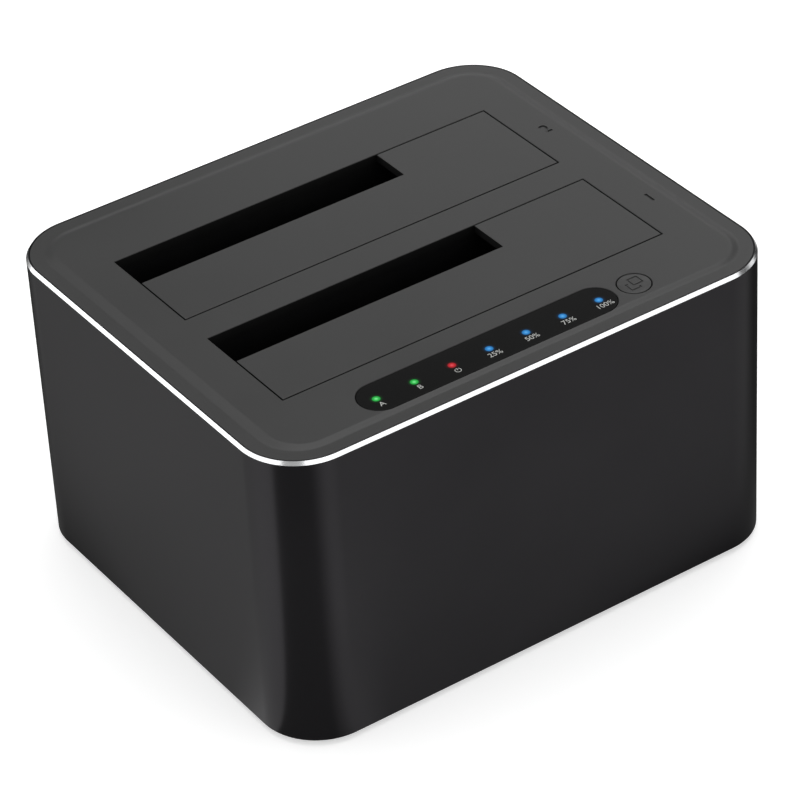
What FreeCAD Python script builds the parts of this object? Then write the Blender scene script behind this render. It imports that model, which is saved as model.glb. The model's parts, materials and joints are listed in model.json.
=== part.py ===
import FreeCAD, Part

# Two-bay drive docking station and duplicator.
#
# An extruded aluminium sleeve is clamped between a moulded top cover and a
# moulded base plate.  Each bay takes a 3.5 inch drive on its end.  A sprung flap
# closes the bay and leaves an open slot for a 2.5 inch drive behind it.
#
# Millimetres.  X runs along the bays, Y from front to back and Z up.  The origin
# is on the resting plane, under the middle of the sleeve.

import math
import os

V = FreeCAD.Vector

# ---------------------------------------------------------------- case
CASE_WIDTH = 136.5          # sleeve, along X
CASE_DEPTH = 115.4          # sleeve, along Y
CASE_HEIGHT = 76.7          # sleeve alone, without the feet
CASE_CORNER_R = 14.9        # vertical corners
CASE_WALL = 2.4             # extruded wall
CHAMFER_WIDTH = 0.65        # bright chamfer round the top, across
CHAMFER_HEIGHT = 1.0        # bright chamfer round the top, down
TOP_LAND = 0.12             # flat left between the chamfer and the cover
BASE_LIP = 1.2              # wall left round the base plate
SEAT_GAP = 0.1              # clearance of a part let into another
FIT_GAP = 0.15              # clearance of a part that slides inside the sleeve

# ---------------------------------------------------------------- top cover
COVER_EDGE = 3.0            # thickness where the cover sits on the sleeve
COVER_THICKNESS = 2.4       # thickness under the raised panel
RIM_WIDTH = 2.5             # flat rim outside the shoulder
SHOULDER_WIDTH = 2.3        # S-shaped step between the rim and the panel
PANEL_RISE = 0.6            # height of the panel above the rim
SKIRT_THICKNESS = 1.5
SKIRT_DEPTH = 4.0           # reach of the skirt inside the sleeve
POST_R = 3.5                # screw posts that run down to the base
POST_INSET = 11.2           # post's axis from the sleeve's outside
POST_FIN = 1.2              # thickness of the stiffening fins of a post
POST_FIN_REACH = 5.4        # fin length from the post's axis
POST_FIN_ABOVE = 8.0        # plain end of a post, below its fins

# ---------------------------------------------------------------- base
BASE_THICKNESS = 2.4
BASE_RIM_THICKNESS = 1.5
BASE_RIM_HEIGHT = 5.0
BASE_BOSS_R = 4.4
BASE_BOSS_HEIGHT = 10.0     # boss that meets a screw post
POST_GAP = 0.1              # left open so that the screws clamp the sleeve
FOOT_R = 5.5
FOOT_PROUD = 1.5            # foot below the sleeve
FOOT_DRAFT = 0.4            # foot narrower at the floor than at the base plate
FOOT_INSET_X = 22.25        # foot's middle from the sleeve's outside
FOOT_INSET_Y = 20.7
VENT_LENGTH = 34.0
VENT_WIDTH = 2.2
VENT_PITCH = 6.0
VENT_COUNT = 7
VENT_X = 19.0               # middle of each row of vents

# ---------------------------------------------------------------- screws
SCREW_R = 1.5               # case screws
SCREW_HEAD_R = 2.8
SCREW_HEAD_HEIGHT = 1.8
SCREW_BITE = 10.0           # length held in a post
SMALL_SCREW_R = 1.15        # screws inside the case
SMALL_HEAD_R = 2.1
SMALL_HEAD_HEIGHT = 1.3
SMALL_BITE = 4.5
THREAD_GAP = 0.02           # screw in the plastic that it has cut
CLEAR_GAP = 0.2             # screw in a clearance hole
HOLE_EXTRA = 0.5            # blind hole beyond the screw's tip
SCREW_HEAD_SUNK = 0.4       # case screw heads below the base plate's face

# ---------------------------------------------------------------- drives and bays
DRIVE_35_WIDTH = 101.6      # 3.5 inch drive, SFF-8301
DRIVE_35_HEIGHT = 26.1
DRIVE_25_WIDTH = 69.85      # 2.5 inch drive, SFF-8201
BAY_LONG_GAP = 2.0          # play along the bay
BAY_FOLD_ROOM = 4.0         # room for the folded flap beside a 3.5 inch drive
SLOT_LONG_GAP = 2.5
SLOT_DEPTH = 11.4           # open slot for a 2.5 inch drive
BAYS_OFF_X = -0.4           # middle of the bays from the middle of the case
BAYS_OFF_Y = -0.25
BAY_SPACE = 9.1             # cover left between the two bays
SOCKET_FROM_END = 31.1      # drive socket's middle, from the bay's left end
SOCKET_FROM_BACK = 3.9      # drive socket's middle, from the bay's back

# ---------------------------------------------------------------- drive wells
WELL_WALL = 1.2
WELL_PLAY = 0.2             # well wall outside the edge of the opening
WELL_FLOOR = 1.5
WELL_CLEAR = 0.5            # well above the tallest rear socket
WELL_FLANGE = 1.5           # thickness of the flange under the cover
WELL_FLANGE_END = 4.0       # flange beyond the ends of the opening
WELL_RIB = 1.2              # guide ribs on the end walls
WELL_RIB_PROUD = 0.35
WELL_RIB_COUNT = 3
HOOK_WIDTH = 9.0            # snap hooks of the cover that hold a well's flange
HOOK_THICKNESS = 1.4
HOOK_CATCH = 0.9            # reach of the catch under the flange
HOOK_CATCH_HEIGHT = 2.2
HOOK_GAP = 0.05
SOCKET_PLAY = 0.5           # floor opening round a drive socket

# ---------------------------------------------------------------- flaps and hinges
FLAP_GAP = 0.35             # gap line round a flap
FLAP_THICKNESS = 2.0
FLAP_RIB = 1.2
FLAP_RIB_HEIGHT = 0.7
FLAP_RIB_COUNT = 4
BARREL_R = 1.3
HINGE_DROP = 2.0            # hinge axis below the top face
ROD_R = 0.6
ROD_GAP = 0.05              # running clearance of the rod in the cover
ROD_GRIP_GAP = 0.01         # rod held in the flap
ROD_SEAT = 2.5              # length of rod in the cover at each end
STOP_WIDTH = 10.0           # tab that stops a closed flap under the cover
STOP_REACH = 1.0
STOP_GAP = 0.1
STOP_THICKNESS = 1.0
STOP_PLAY = 0.6
STOP_SWING_DROP = 9.0       # notch in the well for the tab's swing
SPRING_WIRE_R = 0.2
SPRING_COIL_GAP = 0.08
SPRING_TURNS = 4
SPRING_LEG = 6.0
SPRING_POCKET_PLAY = 0.25
SPRING_PAD_EXTRA = 0.6
SPRING_X_FROM_LEFT = 78.0   # middle of the spring, from the bay's left end

# ---------------------------------------------------------------- indicator window
WINDOW_X = -6.0
WINDOW_END = 4.1            # window beyond the first and the last light
WINDOW_WIDTH = 10.4
WINDOW_FROM_FRONT = 11.0    # window's middle line from the sleeve's front
WINDOW_THICKNESS = 1.2
WINDOW_LEDGE = 1.7
LIGHT_COUNT = 7
LIGHT_PITCH = 10.0
LIGHTS_OFF_X = -0.1         # row of lights from the window's middle
LIGHTS_OFF_Y = -0.3
LIGHT_SIDE = 2.2            # square light guide
LIGHT_GAP = 0.05
LIGHT_FOOT_SIDE = 2.8       # flange at a guide's foot
LIGHT_FOOT_HEIGHT = 0.6
LED_LENGTH = 2.0
LED_WIDTH = 1.25
LED_HEIGHT = 0.8
LED_AIR = 0.1               # between a light source and its guide
GREEN_LIGHTS = (0, 1)
RED_LIGHTS = (2,)
BLUE_LIGHTS = (3, 4, 5, 6)

# ---------------------------------------------------------------- clone button
BUTTON_FROM_WINDOW = 5.9    # button's middle from the window's right end
BUTTON_R = 3.9
BUTTON_GAP = 0.2
BUTTON_SKIRT_R = 4.5
BUTTON_SKIRT_HEIGHT = 0.9
BUTTON_SKIRT_GAP = 0.1      # below the cover's underside
BUTTON_BEVEL = 0.25
BUTTON_STEM_R = 1.6
BUTTON_TRAVEL = 0.5
TACT_SIDE = 6.0
TACT_HEIGHT = 3.5
TACT_PLUNGER_R = 1.75
TACT_PLUNGER_PROUD = 0.8
TACT_PLUNGER_DEEP = 0.8
TACT_PLUNGER_GAP = 0.1

# ---------------------------------------------------------------- indicator board
LED_BOARD_DROP = 10.8       # board's top face below the panel
LED_BOARD_THICKNESS = 1.6
LED_BOARD_END_GAP = 0.6     # board's ends from the fins of the posts
LED_BOARD_FRONT = 6.3       # board's front edge from the window's middle line
LED_BOARD_BACK = 4.0
LED_BOSS_R = 2.0
LED_BOSS_INSET = 2.6        # boss axis from the board's ends

# ---------------------------------------------------------------- main board
MAIN_BOARD_GAP = 4.1        # standoff height above the base plate
MAIN_BOARD_THICKNESS = 1.6
MAIN_BOARD_SIDE_GAP = 2.65  # board's sides from the bosses
MAIN_BOARD_FRONT_GAP = 4.3  # board's front edge from the sleeve's inner face
MAIN_BOARD_BACK_GAP = 1.9
STANDOFF_R = 3.0
PEG_SIDE = 2.4              # locating pegs of the base in the board
PEG_PROUD = 0.8             # pegs above the board
PEG_SHOULDER_SIDE = 5.0     # square standoff below each peg
BOARD_SCREW_SIDE = 4.5      # screws and pegs from the board's edges
BOARD_SCREW_FRONT = 5.5
BOARD_SCREW_BACK = 13.9

# ---------------------------------------------------------------- drive sockets
SOCKET_NECK_LENGTH = 38.0
SOCKET_NECK_WIDTH = 5.0
SOCKET_BASE_LENGTH = 42.0
SOCKET_BASE_WIDTH = 6.4
SOCKET_BASE_HEIGHT = 3.6
SOCKET_PROUD = 5.0          # socket above the well's floor
SOCKET_SLOT_WIDTH = 2.3
SOCKET_SLOT_DEPTH = 6.0
SOCKET_KEY = 1.1            # L-shaped end of each slot
SOCKET_POWER_LENGTH = 20.6
SOCKET_SIGNAL_LENGTH = 10.4
SOCKET_SLOT_SPACE = 2.5
CONTACT_PITCH = 1.27
CONTACT_WIDTH = 0.6
CONTACT_THICKNESS = 0.3
CONTACT_LENGTH = 4.6
POWER_CONTACTS = 15
SIGNAL_CONTACTS = 7

# ---------------------------------------------------------------- rear connectors
REAR_GAP = 0.2              # connector faces behind the sleeve's inner face
USB_FROM_JACK = 15.0
USB_WIDTH = 12.2            # outside of the shell
USB_HEIGHT = 12.4
USB_LENGTH = 17.5
USB_SHELL = 0.5
USB_STEP_WIDTH = 7.6        # narrower upper half of the mouth
USB_STEP_HEIGHT = 3.9
USB_TONGUE_WIDTH = 5.6
USB_TONGUE_HEIGHT = 3.2
USB_UPPER_TONGUE_HEIGHT = 1.2
USB_TONGUE_SET_BACK = 2.0
USB_BACK_THICKNESS = 6.0
USB_OPENING_GAP = 0.7
JACK_FROM_SWITCH = 15.5
JACK_WIDTH = 9.0
JACK_HEIGHT = 11.0
JACK_LENGTH = 14.2
JACK_CENTRE_HEIGHT = 6.5    # mouth above the board
JACK_BORE_R = 3.1
JACK_BORE_DEPTH = 10.0
JACK_PIN_R = 1.05
JACK_PIN_SET_BACK = 0.8
JACK_OPENING_R = 4.6
SWITCH_POST_GAP = 0.7       # switch from the boss beside it
SWITCH_WIDTH = 15.0
SWITCH_HEIGHT = 9.6
SWITCH_LENGTH = 11.0
SWITCH_RIM = 1.1
SWITCH_POCKET_DEPTH = 6.6
SWITCH_TURN = 16.0          # degrees between off and on
ROCKER_GAP = 0.45
ROCKER_HUB_R = 2.0
ROCKER_FACE = 2.6           # face of the rocker's ends ahead of its axis
ROCKER_WAIST = 1.6          # face at the middle ahead of its axis
ROCKER_BACK = 1.6
TRUNNION_R = 0.9
TRUNNION_GAP = 0.06
TRUNNION_PROUD = 0.7
ROCKER_AXIS_SET_BACK = 1.5  # axis behind the switch's front face
SWITCH_OPENING_GAP = 0.5

# ---------------------------------------------------------------- board components
BRIDGE_SIDE = 12.0
BRIDGE_HEIGHT = 1.2
BRIDGE_X = 12.0
BRIDGE_Y = -14.0
MEMORY_LENGTH = 6.0
MEMORY_WIDTH = 5.0
MEMORY_HEIGHT = 1.6
MEMORY_X = 25.0
REGULATOR_LENGTH = 6.6
REGULATOR_WIDTH = 6.1
REGULATOR_HEIGHT = 2.3
REGULATOR_FIRST_X = 14.0
REGULATOR_PITCH = 13.0
REGULATOR_COUNT = 2
REGULATOR_FROM_BACK = 31.4  # from the board's back edge
INDUCTOR_SIDE = 7.0
INDUCTOR_HEIGHT = 3.0
INDUCTOR_CORNER = 1.4
INDUCTOR_FROM_BACK = 21.4
CAPACITOR_R = 3.15
CAPACITOR_HEIGHT = 9.0
CAPACITOR_FIRST_X = -13.0   # row at the board's back edge
CAPACITOR_PITCH = 9.0
CAPACITOR_COUNT = 2
CAPACITOR_FROM_BACK = 7.4
CAPACITOR_ALONE_X = 8.0     # one at the board's front edge
CAPACITOR_FROM_FRONT = 7.0
CRYSTAL_LENGTH = 11.0
CRYSTAL_WIDTH = 4.6
CRYSTAL_HEIGHT = 3.5
CRYSTAL_X = 12.0
CRYSTAL_Y = -1.5
HEADER_WIDTH = 12.0
HEADER_DEPTH = 5.0
HEADER_HEIGHT = 5.5
HEADER_FROM_FRONT = 4.2     # lower header from the board's front edge
HEADER_FROM_WINDOW = 1.8    # upper header before the window's middle line
HEADER_X = -16.0
RIBBON_WIDTH = 10.0
RIBBON_THICKNESS = 0.9
RIBBON_IN_HEADER = 3.0
RIBBON_STRAIGHT = 9.0       # from a ribbon's end to its bend
RIBBON_BEND_R = 12.0

# ---------------------------------------------------------------- levels and places
SLEEVE_Z = FOOT_PROUD
SLEEVE_TOP = SLEEVE_Z + CASE_HEIGHT
PANEL_Z = SLEEVE_TOP + PANEL_RISE
COVER_SEAT_Z = SLEEVE_TOP - COVER_EDGE
COVER_UNDER_Z = PANEL_Z - COVER_THICKNESS
BASE_TOP_Z = SLEEVE_Z + BASE_THICKNESS
BASE_BOSS_Z = BASE_TOP_Z + BASE_BOSS_HEIGHT
TOP_LIP = CHAMFER_WIDTH + TOP_LAND
INNER_WIDTH = CASE_WIDTH - 2 * CASE_WALL
INNER_DEPTH = CASE_DEPTH - 2 * CASE_WALL
INNER_R = CASE_CORNER_R - CASE_WALL
COVER_INSET = TOP_LIP + SEAT_GAP
COVER_WIDTH = CASE_WIDTH - 2 * COVER_INSET
COVER_DEPTH = CASE_DEPTH - 2 * COVER_INSET
COVER_CORNER_R = CASE_CORNER_R - COVER_INSET
SKIRT_INSET = CASE_WALL + FIT_GAP
POST_X = CASE_WIDTH / 2 - POST_INSET
POST_Y = CASE_DEPTH / 2 - POST_INSET
FOOT_X = CASE_WIDTH / 2 - FOOT_INSET_X
FOOT_Y = CASE_DEPTH / 2 - FOOT_INSET_Y

BAY_LENGTH = DRIVE_35_WIDTH + BAY_LONG_GAP
BAY_DEPTH = DRIVE_35_HEIGHT + BAY_FOLD_ROOM
SLOT_LENGTH = DRIVE_25_WIDTH + SLOT_LONG_GAP
BAY_LEFT_X = BAYS_OFF_X - BAY_LENGTH / 2
BAY_RIGHT_X = BAYS_OFF_X + BAY_LENGTH / 2
FRONT_BAY_BACK_Y = BAYS_OFF_Y - BAY_SPACE / 2
REAR_BAY_BACK_Y = BAYS_OFF_Y + BAY_SPACE / 2 + BAY_DEPTH
BAYS = {"rear": REAR_BAY_BACK_Y, "front": FRONT_BAY_BACK_Y}
SOCKET_X = BAY_LEFT_X + SOCKET_FROM_END

HINGE_Z = PANEL_Z - HINGE_DROP
HINGE_FROM_FRONT = FLAP_GAP + BARREL_R
ROD_BORE_R = ROD_R + ROD_GAP
SPRING_INNER_R = ROD_R + SPRING_COIL_GAP
SPRING_COIL_R = SPRING_INNER_R + SPRING_WIRE_R
SPRING_OUTER_R = SPRING_COIL_R + SPRING_WIRE_R
SPRING_LENGTH = 2 * SPRING_WIRE_R * SPRING_TURNS
SPRING_X = BAY_LEFT_X + SPRING_X_FROM_LEFT

LIGHTS_LENGTH = LIGHT_PITCH * (LIGHT_COUNT - 1)
WINDOW_LENGTH = LIGHTS_LENGTH + 2 * WINDOW_END
WINDOW_Y = WINDOW_FROM_FRONT - CASE_DEPTH / 2
WINDOW_UNDER_Z = PANEL_Z - WINDOW_THICKNESS
BUTTON_X = WINDOW_X + WINDOW_LENGTH / 2 + BUTTON_FROM_WINDOW
LED_BOARD_TOP_Z = PANEL_Z - LED_BOARD_DROP
LED_BOARD_Z = LED_BOARD_TOP_Z - LED_BOARD_THICKNESS
LED_BOARD_END_X = POST_X - POST_FIN_REACH - LED_BOARD_END_GAP
LED_BOSS_X = LED_BOARD_END_X - LED_BOSS_INSET
LED_BOSSES = [(-LED_BOSS_X, WINDOW_Y), (LED_BOSS_X, WINDOW_Y)]
LIGHT_Y = WINDOW_Y + LIGHTS_OFF_Y
LIGHT_FOOT_Z = LED_BOARD_TOP_Z + LED_HEIGHT + LED_AIR
LIGHT_FIRST_X = WINDOW_X + LIGHTS_OFF_X - LIGHTS_LENGTH / 2
LIGHT_XS = [LIGHT_FIRST_X + LIGHT_PITCH * i for i in range(LIGHT_COUNT)]

MAIN_BOARD_Z = BASE_TOP_Z + MAIN_BOARD_GAP
MAIN_BOARD_TOP_Z = MAIN_BOARD_Z + MAIN_BOARD_THICKNESS
WELL_UNDER_Z = MAIN_BOARD_TOP_Z + USB_HEIGHT + WELL_CLEAR
WELL_FLOOR_Z = WELL_UNDER_Z + WELL_FLOOR
SOCKET_TOP_Z = WELL_FLOOR_Z + SOCKET_PROUD
INNER_BACK_Y = INNER_DEPTH / 2
MAIN_BOARD_SIDE_X = POST_X - BASE_BOSS_R - MAIN_BOARD_SIDE_GAP
MAIN_BOARD_FRONT_Y = MAIN_BOARD_FRONT_GAP - INNER_DEPTH / 2
MAIN_BOARD_BACK_Y = INNER_BACK_Y - MAIN_BOARD_BACK_GAP
BOARD_SCREW_X = MAIN_BOARD_SIDE_X - BOARD_SCREW_SIDE
BOARD_SCREW_FRONT_Y = MAIN_BOARD_FRONT_Y + BOARD_SCREW_FRONT
BOARD_SCREW_BACK_Y = MAIN_BOARD_BACK_Y - BOARD_SCREW_BACK
CONNECTOR_FACE_Y = INNER_BACK_Y - REAR_GAP
JACK_Z = MAIN_BOARD_TOP_Z + JACK_CENTRE_HEIGHT
SWITCH_Z = MAIN_BOARD_TOP_Z + SWITCH_HEIGHT / 2
SWITCH_X = POST_X - BASE_BOSS_R - SWITCH_POST_GAP - SWITCH_WIDTH / 2
JACK_X = SWITCH_X - JACK_FROM_SWITCH
USB_X = JACK_X - USB_FROM_JACK
BOARD_SCREWS = [(-BOARD_SCREW_X, BOARD_SCREW_BACK_Y), (BOARD_SCREW_X, BOARD_SCREW_FRONT_Y)]
BOARD_PEGS = [(-BOARD_SCREW_X, BOARD_SCREW_FRONT_Y), (BOARD_SCREW_X, BOARD_SCREW_BACK_Y)]
STOP_X = (BAY_LEFT_X + SLOT_LENGTH + BAY_RIGHT_X) / 2
POSTS = [(x, y) for x in (-POST_X, POST_X) for y in (-POST_Y, POST_Y)]
FEET = [(x, y) for x in (-FOOT_X, FOOT_X) for y in (-FOOT_Y, FOOT_Y)]
REGULATOR_XS = [REGULATOR_FIRST_X + REGULATOR_PITCH * i for i in range(REGULATOR_COUNT)]
REGULATOR_Y = MAIN_BOARD_BACK_Y - REGULATOR_FROM_BACK
INDUCTOR_Y = MAIN_BOARD_BACK_Y - INDUCTOR_FROM_BACK
CAPACITORS = [(CAPACITOR_FIRST_X + CAPACITOR_PITCH * i, MAIN_BOARD_BACK_Y - CAPACITOR_FROM_BACK)
              for i in range(CAPACITOR_COUNT)]
CAPACITORS.append((CAPACITOR_ALONE_X, MAIN_BOARD_FRONT_Y + CAPACITOR_FROM_FRONT))
HEADER_MAIN_Y = MAIN_BOARD_FRONT_Y + HEADER_FROM_FRONT
HEADER_LED_Y = WINDOW_Y - HEADER_FROM_WINDOW
THROUGH = 1.0               # how far a cutter runs past the face that it opens
QUARTER = 90                # degrees


# ---------------------------------------------------------------- helpers
def block(x0, x1, y0, y1, z0, z1):
    """A box between three pairs of limits."""
    return Part.makeBox(x1 - x0, y1 - y0, z1 - z0, V(x0, y0, z0))


def centred(x, y, length, depth, z0, z1):
    """A box centred on x, y."""
    return block(x - length / 2, x + length / 2, y - depth / 2, y + depth / 2, z0, z1)


def rod(x, y, z0, z1, radius):
    """An upright cylinder."""
    return Part.makeCylinder(radius, z1 - z0, V(x, y, z0))


def rod_x(x0, x1, y, z, radius):
    """A cylinder along X."""
    return Part.makeCylinder(radius, x1 - x0, V(x0, y, z), V(1, 0, 0))


def rod_y(y0, y1, x, z, radius):
    """A cylinder along Y."""
    return Part.makeCylinder(radius, y1 - y0, V(x, y0, z), V(0, 1, 0))


def corner_centres(length, depth, radius):
    """Centres of a round-cornered rectangle's corners, with the angle each starts at."""
    a = length / 2 - radius
    b = depth / 2 - radius
    return [(V(a, -b, 0), -QUARTER), (V(a, b, 0), 0), (V(-a, b, 0), QUARTER),
            (V(-a, -b, 0), 2 * QUARTER)]


def rounded_wire(length, depth, radius, z, middle=V(0, 0, 0)):
    """A rectangle with round corners, counter-clockwise."""
    corners = corner_centres(length, depth, radius)
    up = V(0, 0, 1)
    edges = []
    for i, (centre, start) in enumerate(corners):
        here = centre + middle + up * z
        there = corners[(i + 1) % 4][0] + middle + up * z
        end = math.radians(start + QUARTER)
        outward = V(math.cos(end), math.sin(end), 0) * radius
        edges.append(Part.makeCircle(radius, here, up, start, start + QUARTER))
        edges.append(Part.makeLine(here + outward, there + outward))
    return Part.Wire(edges)


def rounded_block(length, depth, radius, z0, z1, middle=V(0, 0, 0)):
    """An upright prism of a rectangle with round corners."""
    face = Part.Face(rounded_wire(length, depth, radius, z0, middle))
    return face.extrude(V(0, 0, z1 - z0))


def pill(length, width, z0, z1, x, y):
    """An upright prism with half-round ends."""
    reach = (length - width) / 2
    straight = centred(x, y, length - width, width, z0, z1)
    left = rod(x - reach, y, z0, z1, width / 2)
    right = rod(x + reach, y, z0, z1, width / 2)
    return straight.fuse([left, right]).removeSplitter()


def prism(points, direction):
    """A flat outline, given by its corners, pushed along a direction."""
    return Part.Face(Part.makePolygon(points + [points[0]])).extrude(direction)


def joined(shapes):
    """One solid out of shapes that touch or overlap."""
    return shapes[0].fuse(shapes[1:]).removeSplitter()


def screw(x, y, head_z, tip_z, shank_r, head_r, head_height):
    """A screw that points up: its head, with the bearing face at head_z, and its shank."""
    shank = rod(x, y, head_z, tip_z, shank_r)
    return joined([shank, rod(x, y, head_z - head_height, head_z, head_r)])


def save(name, shapes):
    """Write one node: a solid, or a group of separate solids."""
    solids = [s for shape in shapes for s in shape.Solids]
    whole = solids[0] if len(solids) == 1 else Part.makeCompound(solids)
    whole.exportStep(os.path.join("parts", name + ".step"))
    print(f"{name}: {len(solids)} solid(s), {whole.Volume:.1f} mm3, valid {whole.isValid()}")


# ---------------------------------------------------------------- case
def sleeve():
    """Extruded sleeve with let-in ledges, a bright top chamfer and rear openings."""
    low = SLEEVE_TOP - CHAMFER_HEIGHT
    lower = rounded_block(CASE_WIDTH, CASE_DEPTH, CASE_CORNER_R, SLEEVE_Z, low)
    wide = rounded_wire(CASE_WIDTH, CASE_DEPTH, CASE_CORNER_R, low)
    narrow = rounded_wire(CASE_WIDTH - 2 * CHAMFER_WIDTH, CASE_DEPTH - 2 * CHAMFER_WIDTH,
                          CASE_CORNER_R - CHAMFER_WIDTH, SLEEVE_TOP)
    shell = joined([lower, Part.makeLoft([wide, narrow], True, True)])
    bore = rounded_block(INNER_WIDTH, INNER_DEPTH, INNER_R,
                         SLEEVE_Z - THROUGH, SLEEVE_TOP + THROUGH)
    top_seat = rounded_block(CASE_WIDTH - 2 * TOP_LIP, CASE_DEPTH - 2 * TOP_LIP,
                             CASE_CORNER_R - TOP_LIP, COVER_SEAT_Z, SLEEVE_TOP + THROUGH)
    base_seat = rounded_block(CASE_WIDTH - 2 * BASE_LIP, CASE_DEPTH - 2 * BASE_LIP,
                              CASE_CORNER_R - BASE_LIP, SLEEVE_Z - THROUGH, BASE_TOP_Z)
    return shell.cut([bore, top_seat, base_seat] + rear_openings())


def rear_openings():
    """Cutters for the sockets and the switch in the sleeve's back."""
    inside = INNER_BACK_Y - THROUGH
    back = CASE_DEPTH / 2 + THROUGH
    usb_half = USB_WIDTH / 2 + USB_OPENING_GAP
    usb = block(USB_X - usb_half, USB_X + usb_half, inside, back,
                MAIN_BOARD_TOP_Z - USB_OPENING_GAP,
                MAIN_BOARD_TOP_Z + USB_HEIGHT + USB_OPENING_GAP)
    jack = rod_y(inside, back, JACK_X, JACK_Z, JACK_OPENING_R)
    wide = SWITCH_WIDTH / 2 - SWITCH_RIM + SWITCH_OPENING_GAP
    tall = SWITCH_HEIGHT / 2 - SWITCH_RIM + SWITCH_OPENING_GAP
    switch = block(SWITCH_X - wide, SWITCH_X + wide, inside, back,
                   SWITCH_Z - tall, SWITCH_Z + tall)
    return [usb, jack, switch]


def cover_section():
    """Section of the cover's edge, from a corner's axis outwards along X."""
    turn = 2 * math.atan(PANEL_RISE / SHOULDER_WIDTH)
    bend_r = SHOULDER_WIDTH / 2 / math.sin(turn)
    across = bend_r * math.sin(turn / 2)
    down = bend_r * (1 - math.cos(turn / 2))
    rim_in = COVER_CORNER_R - RIM_WIDTH
    panel_out = rim_in - SHOULDER_WIDTH
    foot = V(rim_in, 0, SLEEVE_TOP)
    middle = V((rim_in + panel_out) / 2, 0, SLEEVE_TOP + PANEL_RISE / 2)
    crest = V(panel_out, 0, PANEL_Z)
    hollow = Part.Arc(foot, foot + V(-across, 0, down), middle).toShape()
    swell = Part.Arc(middle, crest + V(across, 0, -down), crest).toShape()
    straights = Part.makePolygon([
        crest, V(0, 0, PANEL_Z), V(0, 0, COVER_SEAT_Z), V(COVER_CORNER_R, 0, COVER_SEAT_Z),
        V(COVER_CORNER_R, 0, SLEEVE_TOP), foot])
    return Part.Face(Part.Wire([hollow, swell] + straights.Edges))


def cover_blank():
    """Cover plate with its S-shaped shoulder carried round all four corners."""
    section = cover_section()
    up = V(0, 0, 1)
    corners = corner_centres(COVER_WIDTH, COVER_DEPTH, COVER_CORNER_R)
    pieces = []
    for i, (centre, start) in enumerate(corners):
        corner = section.copy()
        corner.rotate(V(0, 0, 0), up, start)
        corner.translate(centre)
        pieces.append(corner.revolve(centre, up, QUARTER))
        side = section.copy()
        side.rotate(V(0, 0, 0), up, start + QUARTER)
        side.translate(centre)
        pieces.append(side.extrude(corners[(i + 1) % 4][0] - centre))
    a = COVER_WIDTH / 2 - COVER_CORNER_R
    b = COVER_DEPTH / 2 - COVER_CORNER_R
    pieces.append(block(-a, a, -b, b, COVER_SEAT_Z, PANEL_Z))
    return joined(pieces)


def post(x, y):
    """Screw post with crossed fins, from the cover down to a boss of the base."""
    foot = BASE_BOSS_Z + POST_GAP
    tube = rod(x, y, foot, COVER_UNDER_Z, POST_R)
    fin_foot = foot + POST_FIN_ABOVE
    across = centred(x, y, 2 * POST_FIN_REACH, POST_FIN, fin_foot, COVER_UNDER_Z)
    along = centred(x, y, POST_FIN, 2 * POST_FIN_REACH, fin_foot, COVER_UNDER_Z)
    return joined([tube, across, along])


def top_cover():
    """Moulded cover: panel, shoulder, rim, skirt, posts, bosses and openings."""
    foot = COVER_SEAT_Z - SKIRT_DEPTH
    skirt = rounded_block(CASE_WIDTH - 2 * SKIRT_INSET, CASE_DEPTH - 2 * SKIRT_INSET,
                          CASE_CORNER_R - SKIRT_INSET, foot, COVER_SEAT_Z)
    inset = SKIRT_INSET + SKIRT_THICKNESS
    hollow = rounded_block(CASE_WIDTH - 2 * inset, CASE_DEPTH - 2 * inset,
                           CASE_CORNER_R - inset, foot - THROUGH, COVER_UNDER_Z)
    shell = joined([cover_blank(), skirt]).cut(hollow)
    led_bosses = [rod(x, y, LED_BOARD_TOP_Z, COVER_UNDER_Z, LED_BOSS_R) for x, y in LED_BOSSES]
    hooks = [hook(back_y, side) for back_y in BAYS.values() for side in (-1, 1)]
    shell = joined([shell] + [post(x, y) for x, y in POSTS] + led_bosses + hooks)
    cuts = window_recess() + [button_hole()]
    for back_y in BAYS.values():
        cuts.append(block(BAY_LEFT_X, BAY_RIGHT_X, back_y - BAY_DEPTH, back_y,
                          COVER_UNDER_Z - THROUGH, PANEL_Z + THROUGH))
        cuts.extend(rod_seats(back_y))
    post_z = BASE_BOSS_Z + POST_GAP
    held = SCREW_BITE + HOLE_EXTRA
    small_held = SMALL_BITE + HOLE_EXTRA
    cuts.extend(screw_hole(x, y, post_z, held, SCREW_R) for x, y in POSTS)
    cuts.extend(screw_hole(x, y, LED_BOARD_TOP_Z, small_held, SMALL_SCREW_R)
                for x, y in LED_BOSSES)
    return shell.cut(cuts)


def hook(back_y, side):
    """Snap hook at the left (-1) or right (1) end of a bay, with its sloped catch."""
    y0 = back_y - BAY_DEPTH / 2 - HOOK_WIDTH / 2
    inner_x = BAYS_OFF_X + side * (BAY_LENGTH / 2 + WELL_FLANGE_END + HOOK_GAP)
    outer_x = inner_x + side * HOOK_THICKNESS
    catch_x = inner_x - side * (HOOK_CATCH + HOOK_GAP)
    catch_z = COVER_UNDER_Z - WELL_FLANGE - HOOK_GAP
    foot_z = catch_z - HOOK_CATCH_HEIGHT
    profile = [(outer_x, COVER_UNDER_Z), (inner_x, COVER_UNDER_Z), (inner_x, catch_z),
               (catch_x, catch_z), (inner_x, foot_z), (outer_x, foot_z)]
    return prism([V(x, y0, z) for x, z in profile], V(0, HOOK_WIDTH, 0))


def screw_hole(x, y, mouth_z, depth, radius):
    """Cutter for a blind hole that opens downwards at mouth_z."""
    return rod(x, y, mouth_z - THROUGH, mouth_z + depth, radius + THREAD_GAP)


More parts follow.
